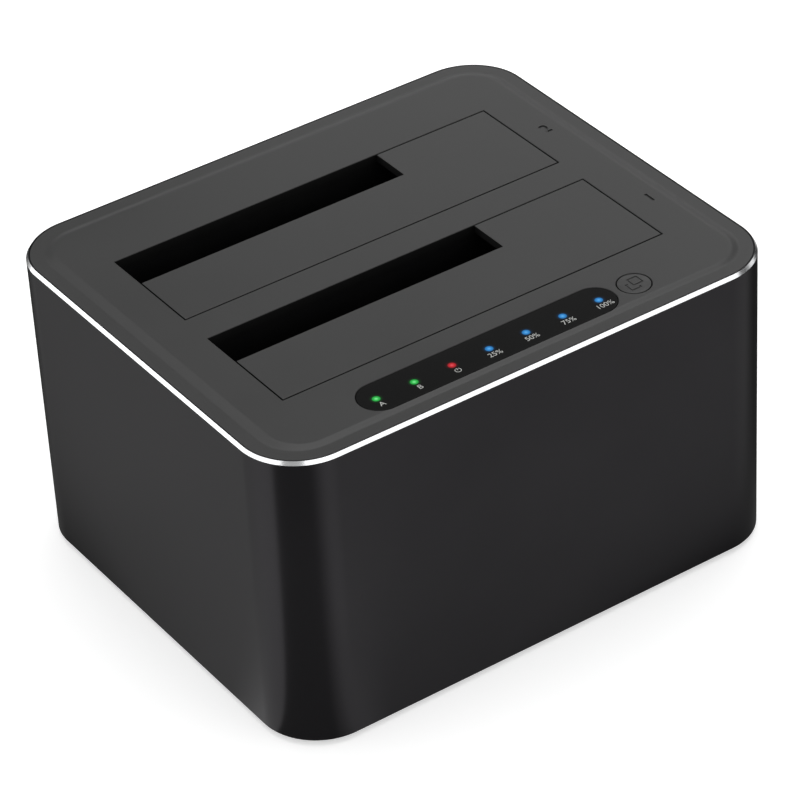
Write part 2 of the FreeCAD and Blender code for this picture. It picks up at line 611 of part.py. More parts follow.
def window_recess():
    """Cutters for the window's seat and for the light block below it."""
    seat = pill(WINDOW_LENGTH + 2 * SEAT_GAP, WINDOW_WIDTH + 2 * SEAT_GAP,
                WINDOW_UNDER_Z, PANEL_Z + THROUGH, WINDOW_X, WINDOW_Y)
    well = pill(WINDOW_LENGTH - 2 * WINDOW_LEDGE, WINDOW_WIDTH - 2 * WINDOW_LEDGE,
                COVER_UNDER_Z - THROUGH, PANEL_Z, WINDOW_X, WINDOW_Y)
    return [seat, well]


def button_hole():
    """Cutter for the clone button."""
    return rod(BUTTON_X, WINDOW_Y, COVER_UNDER_Z - THROUGH, PANEL_Z + THROUGH,
               BUTTON_R + BUTTON_GAP)


def hinge_y(back_y):
    """Place of a flap's hinge axis in a bay."""
    return back_y - BAY_DEPTH + HINGE_FROM_FRONT


def rod_seats(back_y):
    """Cutters for the two U-shaped seats that a hinge rod drops into from below."""
    y = hinge_y(back_y)
    cuts = []
    for x0, x1 in ((BAY_LEFT_X - ROD_SEAT, BAY_LEFT_X + THROUGH),
                   (BAY_RIGHT_X - THROUGH, BAY_RIGHT_X + ROD_SEAT)):
        cuts.append(rod_x(x0, x1, y, HINGE_Z, ROD_BORE_R))
        cuts.append(block(x0, x1, y - ROD_BORE_R, y + ROD_BORE_R,
                          COVER_UNDER_Z - THROUGH, HINGE_Z))
    return cuts


def base_plate():
    """Moulded base: plate, rim, screw bosses, standoffs, pegs and vents."""
    plate = rounded_block(CASE_WIDTH - 2 * BASE_LIP - 2 * SEAT_GAP,
                          CASE_DEPTH - 2 * BASE_LIP - 2 * SEAT_GAP,
                          CASE_CORNER_R - BASE_LIP - SEAT_GAP, SLEEVE_Z, BASE_TOP_Z)
    outer = CASE_WALL + FIT_GAP
    inner = outer + BASE_RIM_THICKNESS
    rim_top = BASE_TOP_Z + BASE_RIM_HEIGHT
    rim = rounded_block(CASE_WIDTH - 2 * outer, CASE_DEPTH - 2 * outer,
                        CASE_CORNER_R - outer, BASE_TOP_Z, rim_top)
    rim = rim.cut(rounded_block(CASE_WIDTH - 2 * inner, CASE_DEPTH - 2 * inner,
                                CASE_CORNER_R - inner, BASE_TOP_Z, rim_top))
    bosses = [rod(x, y, BASE_TOP_Z, BASE_BOSS_Z, BASE_BOSS_R) for x, y in POSTS]
    standoffs = [rod(x, y, BASE_TOP_Z, MAIN_BOARD_Z, STANDOFF_R) for x, y in BOARD_SCREWS]
    base = joined([plate, rim] + bosses + standoffs + board_pegs())
    cuts = []
    head_top = SLEEVE_Z + SCREW_HEAD_SUNK + SCREW_HEAD_HEIGHT
    for x, y in POSTS:
        cuts.append(rod(x, y, SLEEVE_Z - THROUGH, head_top, SCREW_HEAD_R + CLEAR_GAP))
        cuts.append(rod(x, y, SLEEVE_Z, BASE_BOSS_Z + THROUGH, SCREW_R + CLEAR_GAP))
    for x, y in BOARD_SCREWS:
        bottom = MAIN_BOARD_Z - SMALL_BITE - HOLE_EXTRA
        cuts.append(rod(x, y, bottom, MAIN_BOARD_Z + THROUGH, SMALL_SCREW_R + THREAD_GAP))
    for side in (-1, 1):
        for i in range(VENT_COUNT):
            y = VENT_PITCH * (i - (VENT_COUNT - 1) / 2)
            cuts.append(centred(side * VENT_X, y, VENT_LENGTH, VENT_WIDTH,
                                SLEEVE_Z - THROUGH, BASE_TOP_Z + THROUGH))
    return base.cut(cuts)


def board_pegs():
    """Two square standoffs, each with a peg that locates the main board."""
    pegs = []
    for x, y in BOARD_PEGS:
        pegs.append(centred(x, y, PEG_SHOULDER_SIDE, PEG_SHOULDER_SIDE, BASE_TOP_Z,
                            MAIN_BOARD_Z))
        pegs.append(centred(x, y, PEG_SIDE, PEG_SIDE, BASE_TOP_Z,
                            MAIN_BOARD_TOP_Z + PEG_PROUD))
    return pegs


def foot(x, y):
    """Round rubber foot, bonded to the base plate and narrower at the floor."""
    return Part.makeCone(FOOT_R - FOOT_DRAFT, FOOT_R, FOOT_PROUD, V(x, y, 0))


# ---------------------------------------------------------------- bays
def drive_well(back_y):
    """Moulded tub that guides a drive onto its socket and closes the hinge seats."""
    front_y = back_y - BAY_DEPTH
    middle = V(BAYS_OFF_X, (front_y + back_y) / 2, 0)
    inner_length = BAY_LENGTH + 2 * WELL_PLAY
    inner_depth = BAY_DEPTH + 2 * WELL_PLAY
    outer_depth = inner_depth + 2 * WELL_WALL
    tub = centred(middle.x, middle.y, inner_length + 2 * WELL_WALL, outer_depth,
                  WELL_UNDER_Z, COVER_UNDER_Z)
    flange = centred(middle.x, middle.y, BAY_LENGTH + 2 * WELL_FLANGE_END, outer_depth,
                     COVER_UNDER_Z - WELL_FLANGE, COVER_UNDER_Z)
    well = joined([tub, flange])
    well = well.cut(centred(middle.x, middle.y, inner_length, inner_depth,
                            WELL_FLOOR_Z, COVER_UNDER_Z + THROUGH))
    well = joined([well] + well_ribs(middle.y) + [spring_pad(back_y)])
    socket = centred(SOCKET_X, back_y - SOCKET_FROM_BACK, SOCKET_NECK_LENGTH + 2 * SOCKET_PLAY,
                     SOCKET_NECK_WIDTH + 2 * SOCKET_PLAY, WELL_UNDER_Z - THROUGH,
                     WELL_FLOOR_Z + THROUGH)
    swing = centred(STOP_X, back_y, STOP_WIDTH + 2 * STOP_PLAY,
                    2 * (WELL_PLAY + WELL_WALL), COVER_UNDER_Z - STOP_SWING_DROP,
                    COVER_UNDER_Z + THROUGH)
    groove = rod_x(BAY_LEFT_X - ROD_SEAT, BAY_RIGHT_X + ROD_SEAT, hinge_y(back_y),
                   HINGE_Z, ROD_BORE_R)
    return well.cut([socket, swing, groove])


def well_ribs(middle_y):
    """Upright guide ribs on the two end walls of a drive well."""
    top = HINGE_Z - BARREL_R - WELL_RIB
    ribs = []
    for i in range(WELL_RIB_COUNT):
        y = middle_y + BAY_DEPTH * ((i + 0.5) / WELL_RIB_COUNT - 0.5)
        for wall_x, side in ((BAY_LEFT_X - WELL_PLAY, 1), (BAY_RIGHT_X + WELL_PLAY, -1)):
            near = wall_x - side * WELL_WALL / 2
            far = wall_x + side * WELL_RIB_PROUD
            ribs.append(block(min(near, far), max(near, far), y - WELL_RIB / 2,
                              y + WELL_RIB / 2, WELL_FLOOR_Z, top))
    return ribs


def spring_pad(back_y):
    """Pad on the well's front wall that the spring's fixed leg bears on."""
    front_y = back_y - BAY_DEPTH
    face = hinge_y(back_y) - SPRING_COIL_R - SPRING_WIRE_R - THREAD_GAP
    return block(SPRING_X - SPRING_LENGTH / 2 - SPRING_WIRE_R,
                 SPRING_X - SPRING_LENGTH / 2 + 3 * SPRING_WIRE_R,
                 front_y - WELL_PLAY - WELL_WALL / 2, face,
                 HINGE_Z - SPRING_LEG - SPRING_PAD_EXTRA,
                 HINGE_Z - BARREL_R - SPRING_PAD_EXTRA)


def flap(back_y):
    """L-shaped flap: plate, hinge barrel, ribs, stop tab and spring pocket."""
    front_y = back_y - BAY_DEPTH
    axis_y = hinge_y(back_y)
    x0 = BAY_LEFT_X + FLAP_GAP
    x1 = BAY_RIGHT_X - FLAP_GAP
    y0 = front_y + FLAP_GAP
    y1 = back_y - FLAP_GAP
    slot_y = back_y - SLOT_DEPTH
    slot_x = BAY_LEFT_X + SLOT_LENGTH
    under = PANEL_Z - FLAP_THICKNESS
    plan = [(x0, y0), (x1, y0), (x1, y1), (slot_x, y1), (slot_x, slot_y), (x0, slot_y)]
    plate = prism([V(x, y, under) for x, y in plan], V(0, 0, FLAP_THICKNESS))
    barrel = rod_x(x0, x1, axis_y, HINGE_Z, BARREL_R)
    parts = [plate, barrel]
    for i in range(FLAP_RIB_COUNT):
        x = x0 + (x1 - x0) * (i + 0.5) / FLAP_RIB_COUNT
        end_y = y1 if x > slot_x else slot_y
        parts.append(block(x - FLAP_RIB / 2, x + FLAP_RIB / 2, axis_y, end_y - FLAP_RIB,
                           under - FLAP_RIB_HEIGHT, under))
    tab_top = COVER_UNDER_Z - STOP_GAP
    tab_bottom = tab_top - STOP_THICKNESS
    parts.append(centred(STOP_X, y1 - STOP_THICKNESS / 2, STOP_WIDTH, STOP_THICKNESS,
                         tab_bottom, under + FLAP_THICKNESS / 2))
    parts.append(block(STOP_X - STOP_WIDTH / 2, STOP_X + STOP_WIDTH / 2,
                       y1 - STOP_THICKNESS, back_y + STOP_REACH, tab_bottom, tab_top))
    leg_x = SPRING_X + SPRING_LENGTH / 2 - SPRING_WIRE_R
    leg_top = HINGE_Z - SPRING_COIL_R + SPRING_WIRE_R + THREAD_GAP
    pocket_y = axis_y + SPRING_OUTER_R + SPRING_POCKET_PLAY
    parts.append(block(leg_x - FLAP_RIB / 2, leg_x + FLAP_RIB / 2, pocket_y,
                       axis_y + SPRING_LEG, leg_top, under + FLAP_THICKNESS / 2))
    half = SPRING_LENGTH / 2 + SPRING_POCKET_PLAY
    pocket = block(SPRING_X - half, SPRING_X + half, y0 - THROUGH, pocket_y,
                   HINGE_Z - BARREL_R - THROUGH,
                   HINGE_Z + SPRING_OUTER_R + SPRING_POCKET_PLAY)
    bore = rod_x(x0 - THROUGH, x1 + THROUGH, axis_y, HINGE_Z, ROD_R + ROD_GRIP_GAP)
    return joined(parts).cut([pocket, bore])


def hinge_rod(back_y):
    """Steel rod held in the flap, running in the seats of the cover."""
    end_gap = ROD_SEAT - SEAT_GAP
    return rod_x(BAY_LEFT_X - end_gap, BAY_RIGHT_X + end_gap, hinge_y(back_y), HINGE_Z, ROD_R)


def flap_spring(back_y):
    """Close-wound torsion spring: the pack of coils, one fixed leg and one moving leg."""
    y = hinge_y(back_y)
    start = SPRING_X - SPRING_LENGTH / 2
    end = start + SPRING_LENGTH
    coils = rod_x(start, end, y, HINGE_Z, SPRING_OUTER_R)
    fixed = rod(start + SPRING_WIRE_R, y - SPRING_COIL_R, HINGE_Z - SPRING_LEG, HINGE_Z,
                SPRING_WIRE_R)
    moving = rod_y(y, y + SPRING_LEG, end - SPRING_WIRE_R, HINGE_Z - SPRING_COIL_R,
                   SPRING_WIRE_R)
    return joined([coils, fixed, moving]).cut(rod_x(start - THROUGH, end + THROUGH, y,
                                                   HINGE_Z, SPRING_INNER_R))


# ---------------------------------------------------------------- indicators and button
def window():
    """Smoked window, flush with the panel."""
    return pill(WINDOW_LENGTH, WINDOW_WIDTH, WINDOW_UNDER_Z, PANEL_Z, WINDOW_X, WINDOW_Y)


def light_block():
    """Opaque block that holds the light guides apart, between board and window."""
    length = WINDOW_LENGTH - 2 * WINDOW_LEDGE - 2 * SEAT_GAP
    width = WINDOW_WIDTH - 2 * WINDOW_LEDGE - 2 * SEAT_GAP
    solid = pill(length, width, LED_BOARD_TOP_Z, WINDOW_UNDER_Z, WINDOW_X, WINDOW_Y)
    cell = LIGHT_SIDE + 2 * LIGHT_GAP
    foot_cell = LIGHT_FOOT_SIDE + 2 * LIGHT_GAP
    foot_top = LIGHT_FOOT_Z + LIGHT_FOOT_HEIGHT + LIGHT_GAP
    cuts = []
    for x in LIGHT_XS:
        cuts.append(centred(x, LIGHT_Y, cell, cell, LED_BOARD_TOP_Z - THROUGH,
                            WINDOW_UNDER_Z + THROUGH))
        cuts.append(centred(x, LIGHT_Y, foot_cell, foot_cell, LED_BOARD_TOP_Z - THROUGH,
                            foot_top))
    return solid.cut(cuts)


def light_guide(x):
    """Clear square pin with a flange at its foot, up to the window's underside."""
    stem = centred(x, LIGHT_Y, LIGHT_SIDE, LIGHT_SIDE, LIGHT_FOOT_Z,
                   WINDOW_UNDER_Z - LIGHT_GAP)
    flange = centred(x, LIGHT_Y, LIGHT_FOOT_SIDE, LIGHT_FOOT_SIDE, LIGHT_FOOT_Z,
                     LIGHT_FOOT_Z + LIGHT_FOOT_HEIGHT)
    return joined([stem, flange])


def led(x):
    """Light source on the indicator board."""
    return centred(x, LIGHT_Y, LED_LENGTH, LED_WIDTH, LED_BOARD_TOP_Z,
                   LED_BOARD_TOP_Z + LED_HEIGHT)


def led_board():
    """Indicator board, hung under the cover."""
    board = block(-LED_BOARD_END_X, LED_BOARD_END_X, WINDOW_Y - LED_BOARD_FRONT,
                  WINDOW_Y + LED_BOARD_BACK, LED_BOARD_Z, LED_BOARD_TOP_Z)
    return board.cut([rod(x, y, LED_BOARD_Z - THROUGH, LED_BOARD_TOP_Z + THROUGH,
                          SMALL_SCREW_R + CLEAR_GAP) for x, y in LED_BOSSES])


def tact_switch():
    """Push switch under the clone button, with the bore of its plunger."""
    top = LED_BOARD_TOP_Z + TACT_HEIGHT
    body = centred(BUTTON_X, WINDOW_Y, TACT_SIDE, TACT_SIDE, LED_BOARD_TOP_Z, top)
    deep = TACT_PLUNGER_DEEP + BUTTON_TRAVEL + SEAT_GAP
    return body.cut(rod(BUTTON_X, WINDOW_Y, top - deep, top + THROUGH,
                        TACT_PLUNGER_R + TACT_PLUNGER_GAP))


def tact_plunger():
    """Plunger of the push switch."""
    top = LED_BOARD_TOP_Z + TACT_HEIGHT
    return rod(BUTTON_X, WINDOW_Y, top - TACT_PLUNGER_DEEP, top + TACT_PLUNGER_PROUD,
               TACT_PLUNGER_R)


def clone_button():
    """Round key, flush with the panel, held under it by a wider skirt."""
    skirt_top = COVER_UNDER_Z - BUTTON_SKIRT_GAP
    skirt_bottom = skirt_top - BUTTON_SKIRT_HEIGHT
    cap = rod(BUTTON_X, WINDOW_Y, skirt_bottom, PANEL_Z, BUTTON_R)
    top = [e for e in cap.Edges if e.Closed and e.BoundBox.ZMin > PANEL_Z - SEAT_GAP]
    cap = cap.makeChamfer(BUTTON_BEVEL, top)
    skirt = rod(BUTTON_X, WINDOW_Y, skirt_bottom, skirt_top, BUTTON_SKIRT_R)
    plunger_top = LED_BOARD_TOP_Z + TACT_HEIGHT + TACT_PLUNGER_PROUD
    stem = rod(BUTTON_X, WINDOW_Y, plunger_top, skirt_bottom, BUTTON_STEM_R)
    return joined([cap, skirt, stem])


# ---------------------------------------------------------------- main board
def main_board():
    """Main board on the base plate's standoffs."""
    board = block(-MAIN_BOARD_SIDE_X, MAIN_BOARD_SIDE_X, MAIN_BOARD_FRONT_Y,
                  MAIN_BOARD_BACK_Y, MAIN_BOARD_Z, MAIN_BOARD_TOP_Z)
    hole = PEG_SIDE + 2 * SEAT_GAP
    holes = [rod(x, y, MAIN_BOARD_Z - THROUGH, MAIN_BOARD_TOP_Z + THROUGH,
                 SMALL_SCREW_R + CLEAR_GAP) for x, y in BOARD_SCREWS]
    holes.extend(centred(x, y, hole, hole, MAIN_BOARD_Z - THROUGH, MAIN_BOARD_TOP_Z + THROUGH)
                 for x, y in BOARD_PEGS)
    return board.cut(holes)


def socket_slots():
    """Middle and length of the power slot and of the signal slot, along X."""
    total = SOCKET_POWER_LENGTH + SOCKET_SLOT_SPACE + SOCKET_SIGNAL_LENGTH
    left = SOCKET_X - total / 2
    right = SOCKET_X + total / 2
    return [(left + SOCKET_POWER_LENGTH / 2, SOCKET_POWER_LENGTH, POWER_CONTACTS),
            (right - SOCKET_SIGNAL_LENGTH / 2, SOCKET_SIGNAL_LENGTH, SIGNAL_CONTACTS)]


def drive_socket(back_y):
    """Upright drive socket: a broad foot, a neck and two L-shaped slots."""
    y = back_y - SOCKET_FROM_BACK
    foot_part = centred(SOCKET_X, y, SOCKET_BASE_LENGTH, SOCKET_BASE_WIDTH,
                        MAIN_BOARD_TOP_Z, MAIN_BOARD_TOP_Z + SOCKET_BASE_HEIGHT)
    neck = centred(SOCKET_X, y, SOCKET_NECK_LENGTH, SOCKET_NECK_WIDTH,
                   MAIN_BOARD_TOP_Z, SOCKET_TOP_Z)
    cuts = []
    deep = SOCKET_TOP_Z - SOCKET_SLOT_DEPTH
    for x, length, _ in socket_slots():
        cuts.append(centred(x, y, length, SOCKET_SLOT_WIDTH, deep, SOCKET_TOP_Z + THROUGH))
        end = x + length / 2
        cuts.append(block(end - SOCKET_KEY, end, y, y + SOCKET_SLOT_WIDTH / 2 + SOCKET_KEY / 2,
                          deep, SOCKET_TOP_Z + THROUGH))
    return joined([foot_part, neck]).cut(cuts)


def socket_contacts(back_y):
    """Row of contacts on the front wall of each slot."""
    wall_y = back_y - SOCKET_FROM_BACK - SOCKET_SLOT_WIDTH / 2
    deep = SOCKET_TOP_Z - SOCKET_SLOT_DEPTH
    contacts = []
    for x, _, count in socket_slots():
        for i in range(count):
            at = x + CONTACT_PITCH * (i - (count - 1) / 2)
            contacts.append(block(at - CONTACT_WIDTH / 2, at + CONTACT_WIDTH / 2, wall_y,
                                  wall_y + CONTACT_THICKNESS, deep, deep + CONTACT_LENGTH))
    return contacts


def usb_outline(inset, y):
    """Stepped outline of the upright data socket, drawn at y and inset all round."""
    wide = USB_WIDTH / 2 - inset
    narrow = USB_STEP_WIDTH / 2 + USB_SHELL - inset
    low = MAIN_BOARD_TOP_Z + inset
    high = MAIN_BOARD_TOP_Z + USB_HEIGHT - inset
    step = MAIN_BOARD_TOP_Z + USB_HEIGHT - USB_STEP_HEIGHT - inset
    slope = wide - narrow
    profile = [(-wide, low), (wide, low), (wide, step - slope), (narrow, step),
               (narrow, high), (-narrow, high), (-narrow, step), (-wide, step - slope)]
    return [V(USB_X + x, y, z) for x, z in profile]


def usb_shell():
    """Folded steel shell of the data socket, open to the back."""
    front = CONNECTOR_FACE_Y - USB_LENGTH
    outer = prism(usb_outline(0, front), V(0, USB_LENGTH, 0))
    inner = prism(usb_outline(USB_SHELL, front + USB_SHELL), V(0, USB_LENGTH, 0))
    return outer.cut(inner)


def usb_insert():
    """Plastic core of the data socket with its two tongues."""
    front = CONNECTOR_FACE_Y - USB_LENGTH + USB_SHELL
    core = prism(usb_outline(USB_SHELL + THREAD_GAP, front), V(0, USB_BACK_THICKNESS, 0))
    tip = CONNECTOR_FACE_Y - USB_TONGUE_SET_BACK
    low_room = USB_HEIGHT - USB_STEP_HEIGHT - USB_SHELL
    low_z = MAIN_BOARD_TOP_Z + USB_SHELL + low_room / 2
    lower = block(USB_X - USB_TONGUE_WIDTH / 2, USB_X + USB_TONGUE_WIDTH / 2, front, tip,
                  low_z - USB_TONGUE_HEIGHT / 2, low_z + USB_TONGUE_HEIGHT / 2)
    high_z = MAIN_BOARD_TOP_Z + USB_HEIGHT - USB_SHELL - USB_STEP_HEIGHT / 2
    upper = block(USB_X - USB_TONGUE_WIDTH / 2, USB_X + USB_TONGUE_WIDTH / 2, front, tip,
                  high_z - USB_UPPER_TONGUE_HEIGHT / 2, high_z + USB_UPPER_TONGUE_HEIGHT / 2)
    return joined([core, lower, upper])


def dc_jack():
    """Power socket: a moulded block with a round mouth."""
    front = CONNECTOR_FACE_Y - JACK_LENGTH
    body = block(JACK_X - JACK_WIDTH / 2, JACK_X + JACK_WIDTH / 2, front, CONNECTOR_FACE_Y,
                 MAIN_BOARD_TOP_Z, MAIN_BOARD_TOP_Z + JACK_HEIGHT)
    return body.cut(rod_y(CONNECTOR_FACE_Y - JACK_BORE_DEPTH, CONNECTOR_FACE_Y + THROUGH,
                          JACK_X, JACK_Z, JACK_BORE_R))


def dc_pin():
    """Centre pin of the power socket."""
    return rod_y(CONNECTOR_FACE_Y - JACK_BORE_DEPTH, CONNECTOR_FACE_Y - JACK_PIN_SET_BACK,
                 JACK_X, JACK_Z, JACK_PIN_R)


def rocker_axis_y():
    """Place of the power rocker's upright axis."""
    return CONNECTOR_FACE_Y - ROCKER_AXIS_SET_BACK


def switch_frame():
    """Frame of the power switch: a block with a pocket and two trunnion holes."""
    back = CONNECTOR_FACE_Y
    body = block(SWITCH_X - SWITCH_WIDTH / 2, SWITCH_X + SWITCH_WIDTH / 2,
                 back - SWITCH_LENGTH, back, SWITCH_Z - SWITCH_HEIGHT / 2,
                 SWITCH_Z + SWITCH_HEIGHT / 2)
    half = SWITCH_WIDTH / 2 - SWITCH_RIM
    tall = SWITCH_HEIGHT / 2 - SWITCH_RIM
    pocket = block(SWITCH_X - half, SWITCH_X + half, back - SWITCH_POCKET_DEPTH,
                   back + THROUGH, SWITCH_Z - tall, SWITCH_Z + tall)
    reach = tall - ROCKER_GAP + TRUNNION_PROUD + TRUNNION_GAP
    seat = rod(SWITCH_X, rocker_axis_y(), SWITCH_Z - reach, SWITCH_Z + reach,
               TRUNNION_R + TRUNNION_GAP)
    return body.cut([pocket, seat])


def rocker():
    """Power rocker, shown tilted to off, with a trunnion above and below."""
    y = rocker_axis_y()
    half = SWITCH_WIDTH / 2 - SWITCH_RIM - ROCKER_GAP
    back_half = half - ROCKER_GAP * 2
    tall = SWITCH_HEIGHT / 2 - SWITCH_RIM - ROCKER_GAP
    low = SWITCH_Z - tall
    high = SWITCH_Z + tall
    profile = [(-half, ROCKER_FACE), (-back_half, -ROCKER_BACK), (back_half, -ROCKER_BACK),
               (half, ROCKER_FACE), (0, ROCKER_WAIST)]
    paddle = prism([V(SWITCH_X + a, y + b, low) for a, b in profile], V(0, 0, high - low))
    hub = rod(SWITCH_X, y, low, high, ROCKER_HUB_R)
    pins = rod(SWITCH_X, y, low - TRUNNION_PROUD, high + TRUNNION_PROUD, TRUNNION_R)
    whole = joined([paddle, hub, pins])
    whole.rotate(V(SWITCH_X, y, 0), V(0, 0, 1), -SWITCH_TURN / 2)
    return whole


def chip(x, y, length, width, height):
    """Flat component on the main board."""
    return centred(x, y, length, width, MAIN_BOARD_TOP_Z, MAIN_BOARD_TOP_Z + height)


def inductor(x, y):
    """Square power inductor with cut corners."""
    a = INDUCTOR_SIDE / 2
    b = a - INDUCTOR_CORNER
    ring = [(a, -b), (a, b), (b, a), (-b, a), (-a, b), (-a, -b), (-b, -a), (b, -a)]
    return prism([V(x + u, y + v, MAIN_BOARD_TOP_Z) for u, v in ring],
                 V(0, 0, INDUCTOR_HEIGHT))


def capacitor(x, y):
    """Electrolytic can."""
    return rod(x, y, MAIN_BOARD_TOP_Z, MAIN_BOARD_TOP_Z + CAPACITOR_HEIGHT, CAPACITOR_R)


def crystal():
    """Crystal can lying on the main board."""
    return pill(CRYSTAL_LENGTH, CRYSTAL_WIDTH, MAIN_BOARD_TOP_Z,
                MAIN_BOARD_TOP_Z + CRYSTAL_HEIGHT, CRYSTAL_X, CRYSTAL_Y)


def header(y, board_z, away):
    """Ribbon header standing off a board, up (away 1) or down (away -1)."""
    far = board_z + away * HEADER_HEIGHT
    shell = centred(HEADER_X, y, HEADER_WIDTH, HEADER_DEPTH, min(board_z, far),
                    max(board_z, far))
    deep = far - away * RIBBON_IN_HEADER
    past = far + away * THROUGH
    slot = centred(HEADER_X, y, RIBBON_WIDTH + 2 * SEAT_GAP, RIBBON_THICKNESS + 2 * SEAT_GAP,
                   min(deep, past), max(deep, past))
    return shell.cut(slot)


def ribbon():
    """Flat cable between the two boards, with a bend at each end."""
    z0 = MAIN_BOARD_TOP_Z + HEADER_HEIGHT - RIBBON_IN_HEADER
    z1 = LED_BOARD_Z - HEADER_HEIGHT + RIBBON_IN_HEADER
    low = V(HEADER_X, HEADER_MAIN_Y, z0 + RIBBON_STRAIGHT)
    high = V(HEADER_X, HEADER_LED_Y, z1 - RIBBON_STRAIGHT)
    slant = (high - low).normalize()
    up = V(0, 0, 1)
    turn = slant.getAngle(up)
    reach = RIBBON_BEND_R * math.tan(turn / 2)
    bulge = RIBBON_BEND_R * (1 / math.cos(turn / 2) - 1)
    start = V(HEADER_X, HEADER_MAIN_Y, z0)
    end = V(HEADER_X, HEADER_LED_Y, z1)
    first_in = (up * -1 + slant).normalize()
    last_in = (slant * -1 + up).normalize()
    path = Part.Wire([
        Part.makeLine(start, low - up * reach),
        Part.Arc(low - up * reach, low + first_in * bulge, low + slant * reach).toShape(),
        Part.makeLine(low + slant * reach, high - slant * reach),
        Part.Arc(high - slant * reach, high + last_in * bulge, high + up * reach).toShape(),
        Part.makeLine(high + up * reach, end)])
    a = RIBBON_WIDTH / 2
    b = RIBBON_THICKNESS / 2
    section = Part.makePolygon([start + V(u, v, 0) for u, v in
                                ((-a, -b), (a, -b), (a, b), (-a, b), (-a, -b))])
    return path.makePipeShell([section], True, False)


# ---------------------------------------------------------------- write every node
os.makedirs("parts", exist_ok=True)

save("outer_sleeve", [sleeve()])
save("top_cover", [top_cover()])
save("base_plate", [base_plate()])
save("rubber_feet", [foot(x, y) for x, y in FEET])
case_head_z = SLEEVE_Z + SCREW_HEAD_SUNK + SCREW_HEAD_HEIGHT
case_tip_z = BASE_BOSS_Z + POST_GAP + SCREW_BITE
save("case_screws", [screw(x, y, case_head_z, case_tip_z, SCREW_R, SCREW_HEAD_R,
                           SCREW_HEAD_HEIGHT) for x, y in POSTS])

for side_name, bay_back in BAYS.items():
    save(f"{side_name}_drive_well", [drive_well(bay_back)])
    save(f"{side_name}_flap", [flap(bay_back)])
    save(f"{side_name}_hinge_rod", [hinge_rod(bay_back)])
    save(f"{side_name}_flap_spring", [flap_spring(bay_back)])
    save(f"{side_name}_drive_socket", [drive_socket(bay_back)])
    save(f"{side_name}_socket_contacts", socket_contacts(bay_back))

save("indicator_window", [window()])
save("light_block", [light_block()])
for colour, places in (("green", GREEN_LIGHTS), ("red", RED_LIGHTS), ("blue", BLUE_LIGHTS)):
    save(f"{colour}_light_guides", [light_guide(LIGHT_XS[i]) for i in places])
save("indicator_leds", [led(x) for x in LIGHT_XS])
save("indicator_board", [led_board()])
save("indicator_board_screws", [screw(x, y, LED_BOARD_Z, LED_BOARD_TOP_Z + SMALL_BITE,
                                      SMALL_SCREW_R, SMALL_HEAD_R, SMALL_HEAD_HEIGHT)
                                for x, y in LED_BOSSES])
save("push_switch", [tact_switch()])
save("push_switch_plunger", [tact_plunger()])
save("clone_button", [clone_button()])

save("main_board", [main_board()])
board_screws = []
for screw_x, screw_y in BOARD_SCREWS:
    upright = screw(screw_x, screw_y, 0, MAIN_BOARD_THICKNESS + SMALL_BITE, SMALL_SCREW_R,
                    SMALL_HEAD_R, SMALL_HEAD_HEIGHT)
    upright.rotate(V(screw_x, screw_y, 0), V(1, 0, 0), 2 * QUARTER)
    upright.translate(V(0, 0, MAIN_BOARD_TOP_Z))
    board_screws.append(upright)
save("main_board_screws", board_screws)
save("usb_shell", [usb_shell()])
save("usb_insert", [usb_insert()])
save("power_jack", [dc_jack()])
save("power_jack_pin", [dc_pin()])
save("power_switch_frame", [switch_frame()])
save("power_rocker", [rocker()])
save("bridge_chip", [chip(BRIDGE_X, BRIDGE_Y, BRIDGE_SIDE, BRIDGE_SIDE, BRIDGE_HEIGHT)])
save("memory_chip", [chip(MEMORY_X, BRIDGE_Y, MEMORY_LENGTH, MEMORY_WIDTH, MEMORY_HEIGHT)])
save("regulator_chips", [chip(x, REGULATOR_Y, REGULATOR_LENGTH, REGULATOR_WIDTH,
                              REGULATOR_HEIGHT) for x in REGULATOR_XS])
save("power_inductors", [inductor(x, INDUCTOR_Y) for x in REGULATOR_XS])
save("capacitors", [capacitor(x, y) for x, y in CAPACITORS])
save("crystal_can", [crystal()])
save("main_board_header", [header(HEADER_MAIN_Y, MAIN_BOARD_TOP_Z, 1)])
save("indicator_board_header", [header(HEADER_LED_Y, LED_BOARD_Z, -1)])
save("ribbon_cable", [ribbon()])
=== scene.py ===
# %% [markdown]
# # A two-bay drive dock
# The real object is a black aluminium sleeve with a moulded cover on top. The
# imported CAD model is loaded first, as a fixed frame. Each piece below then stands
# exactly where the CAD has it, and all but the springs ride on one of its moving bodies.

# %% Load the frame
import json
import math

import bmesh
import bpy
from mathutils import Matrix, Vector


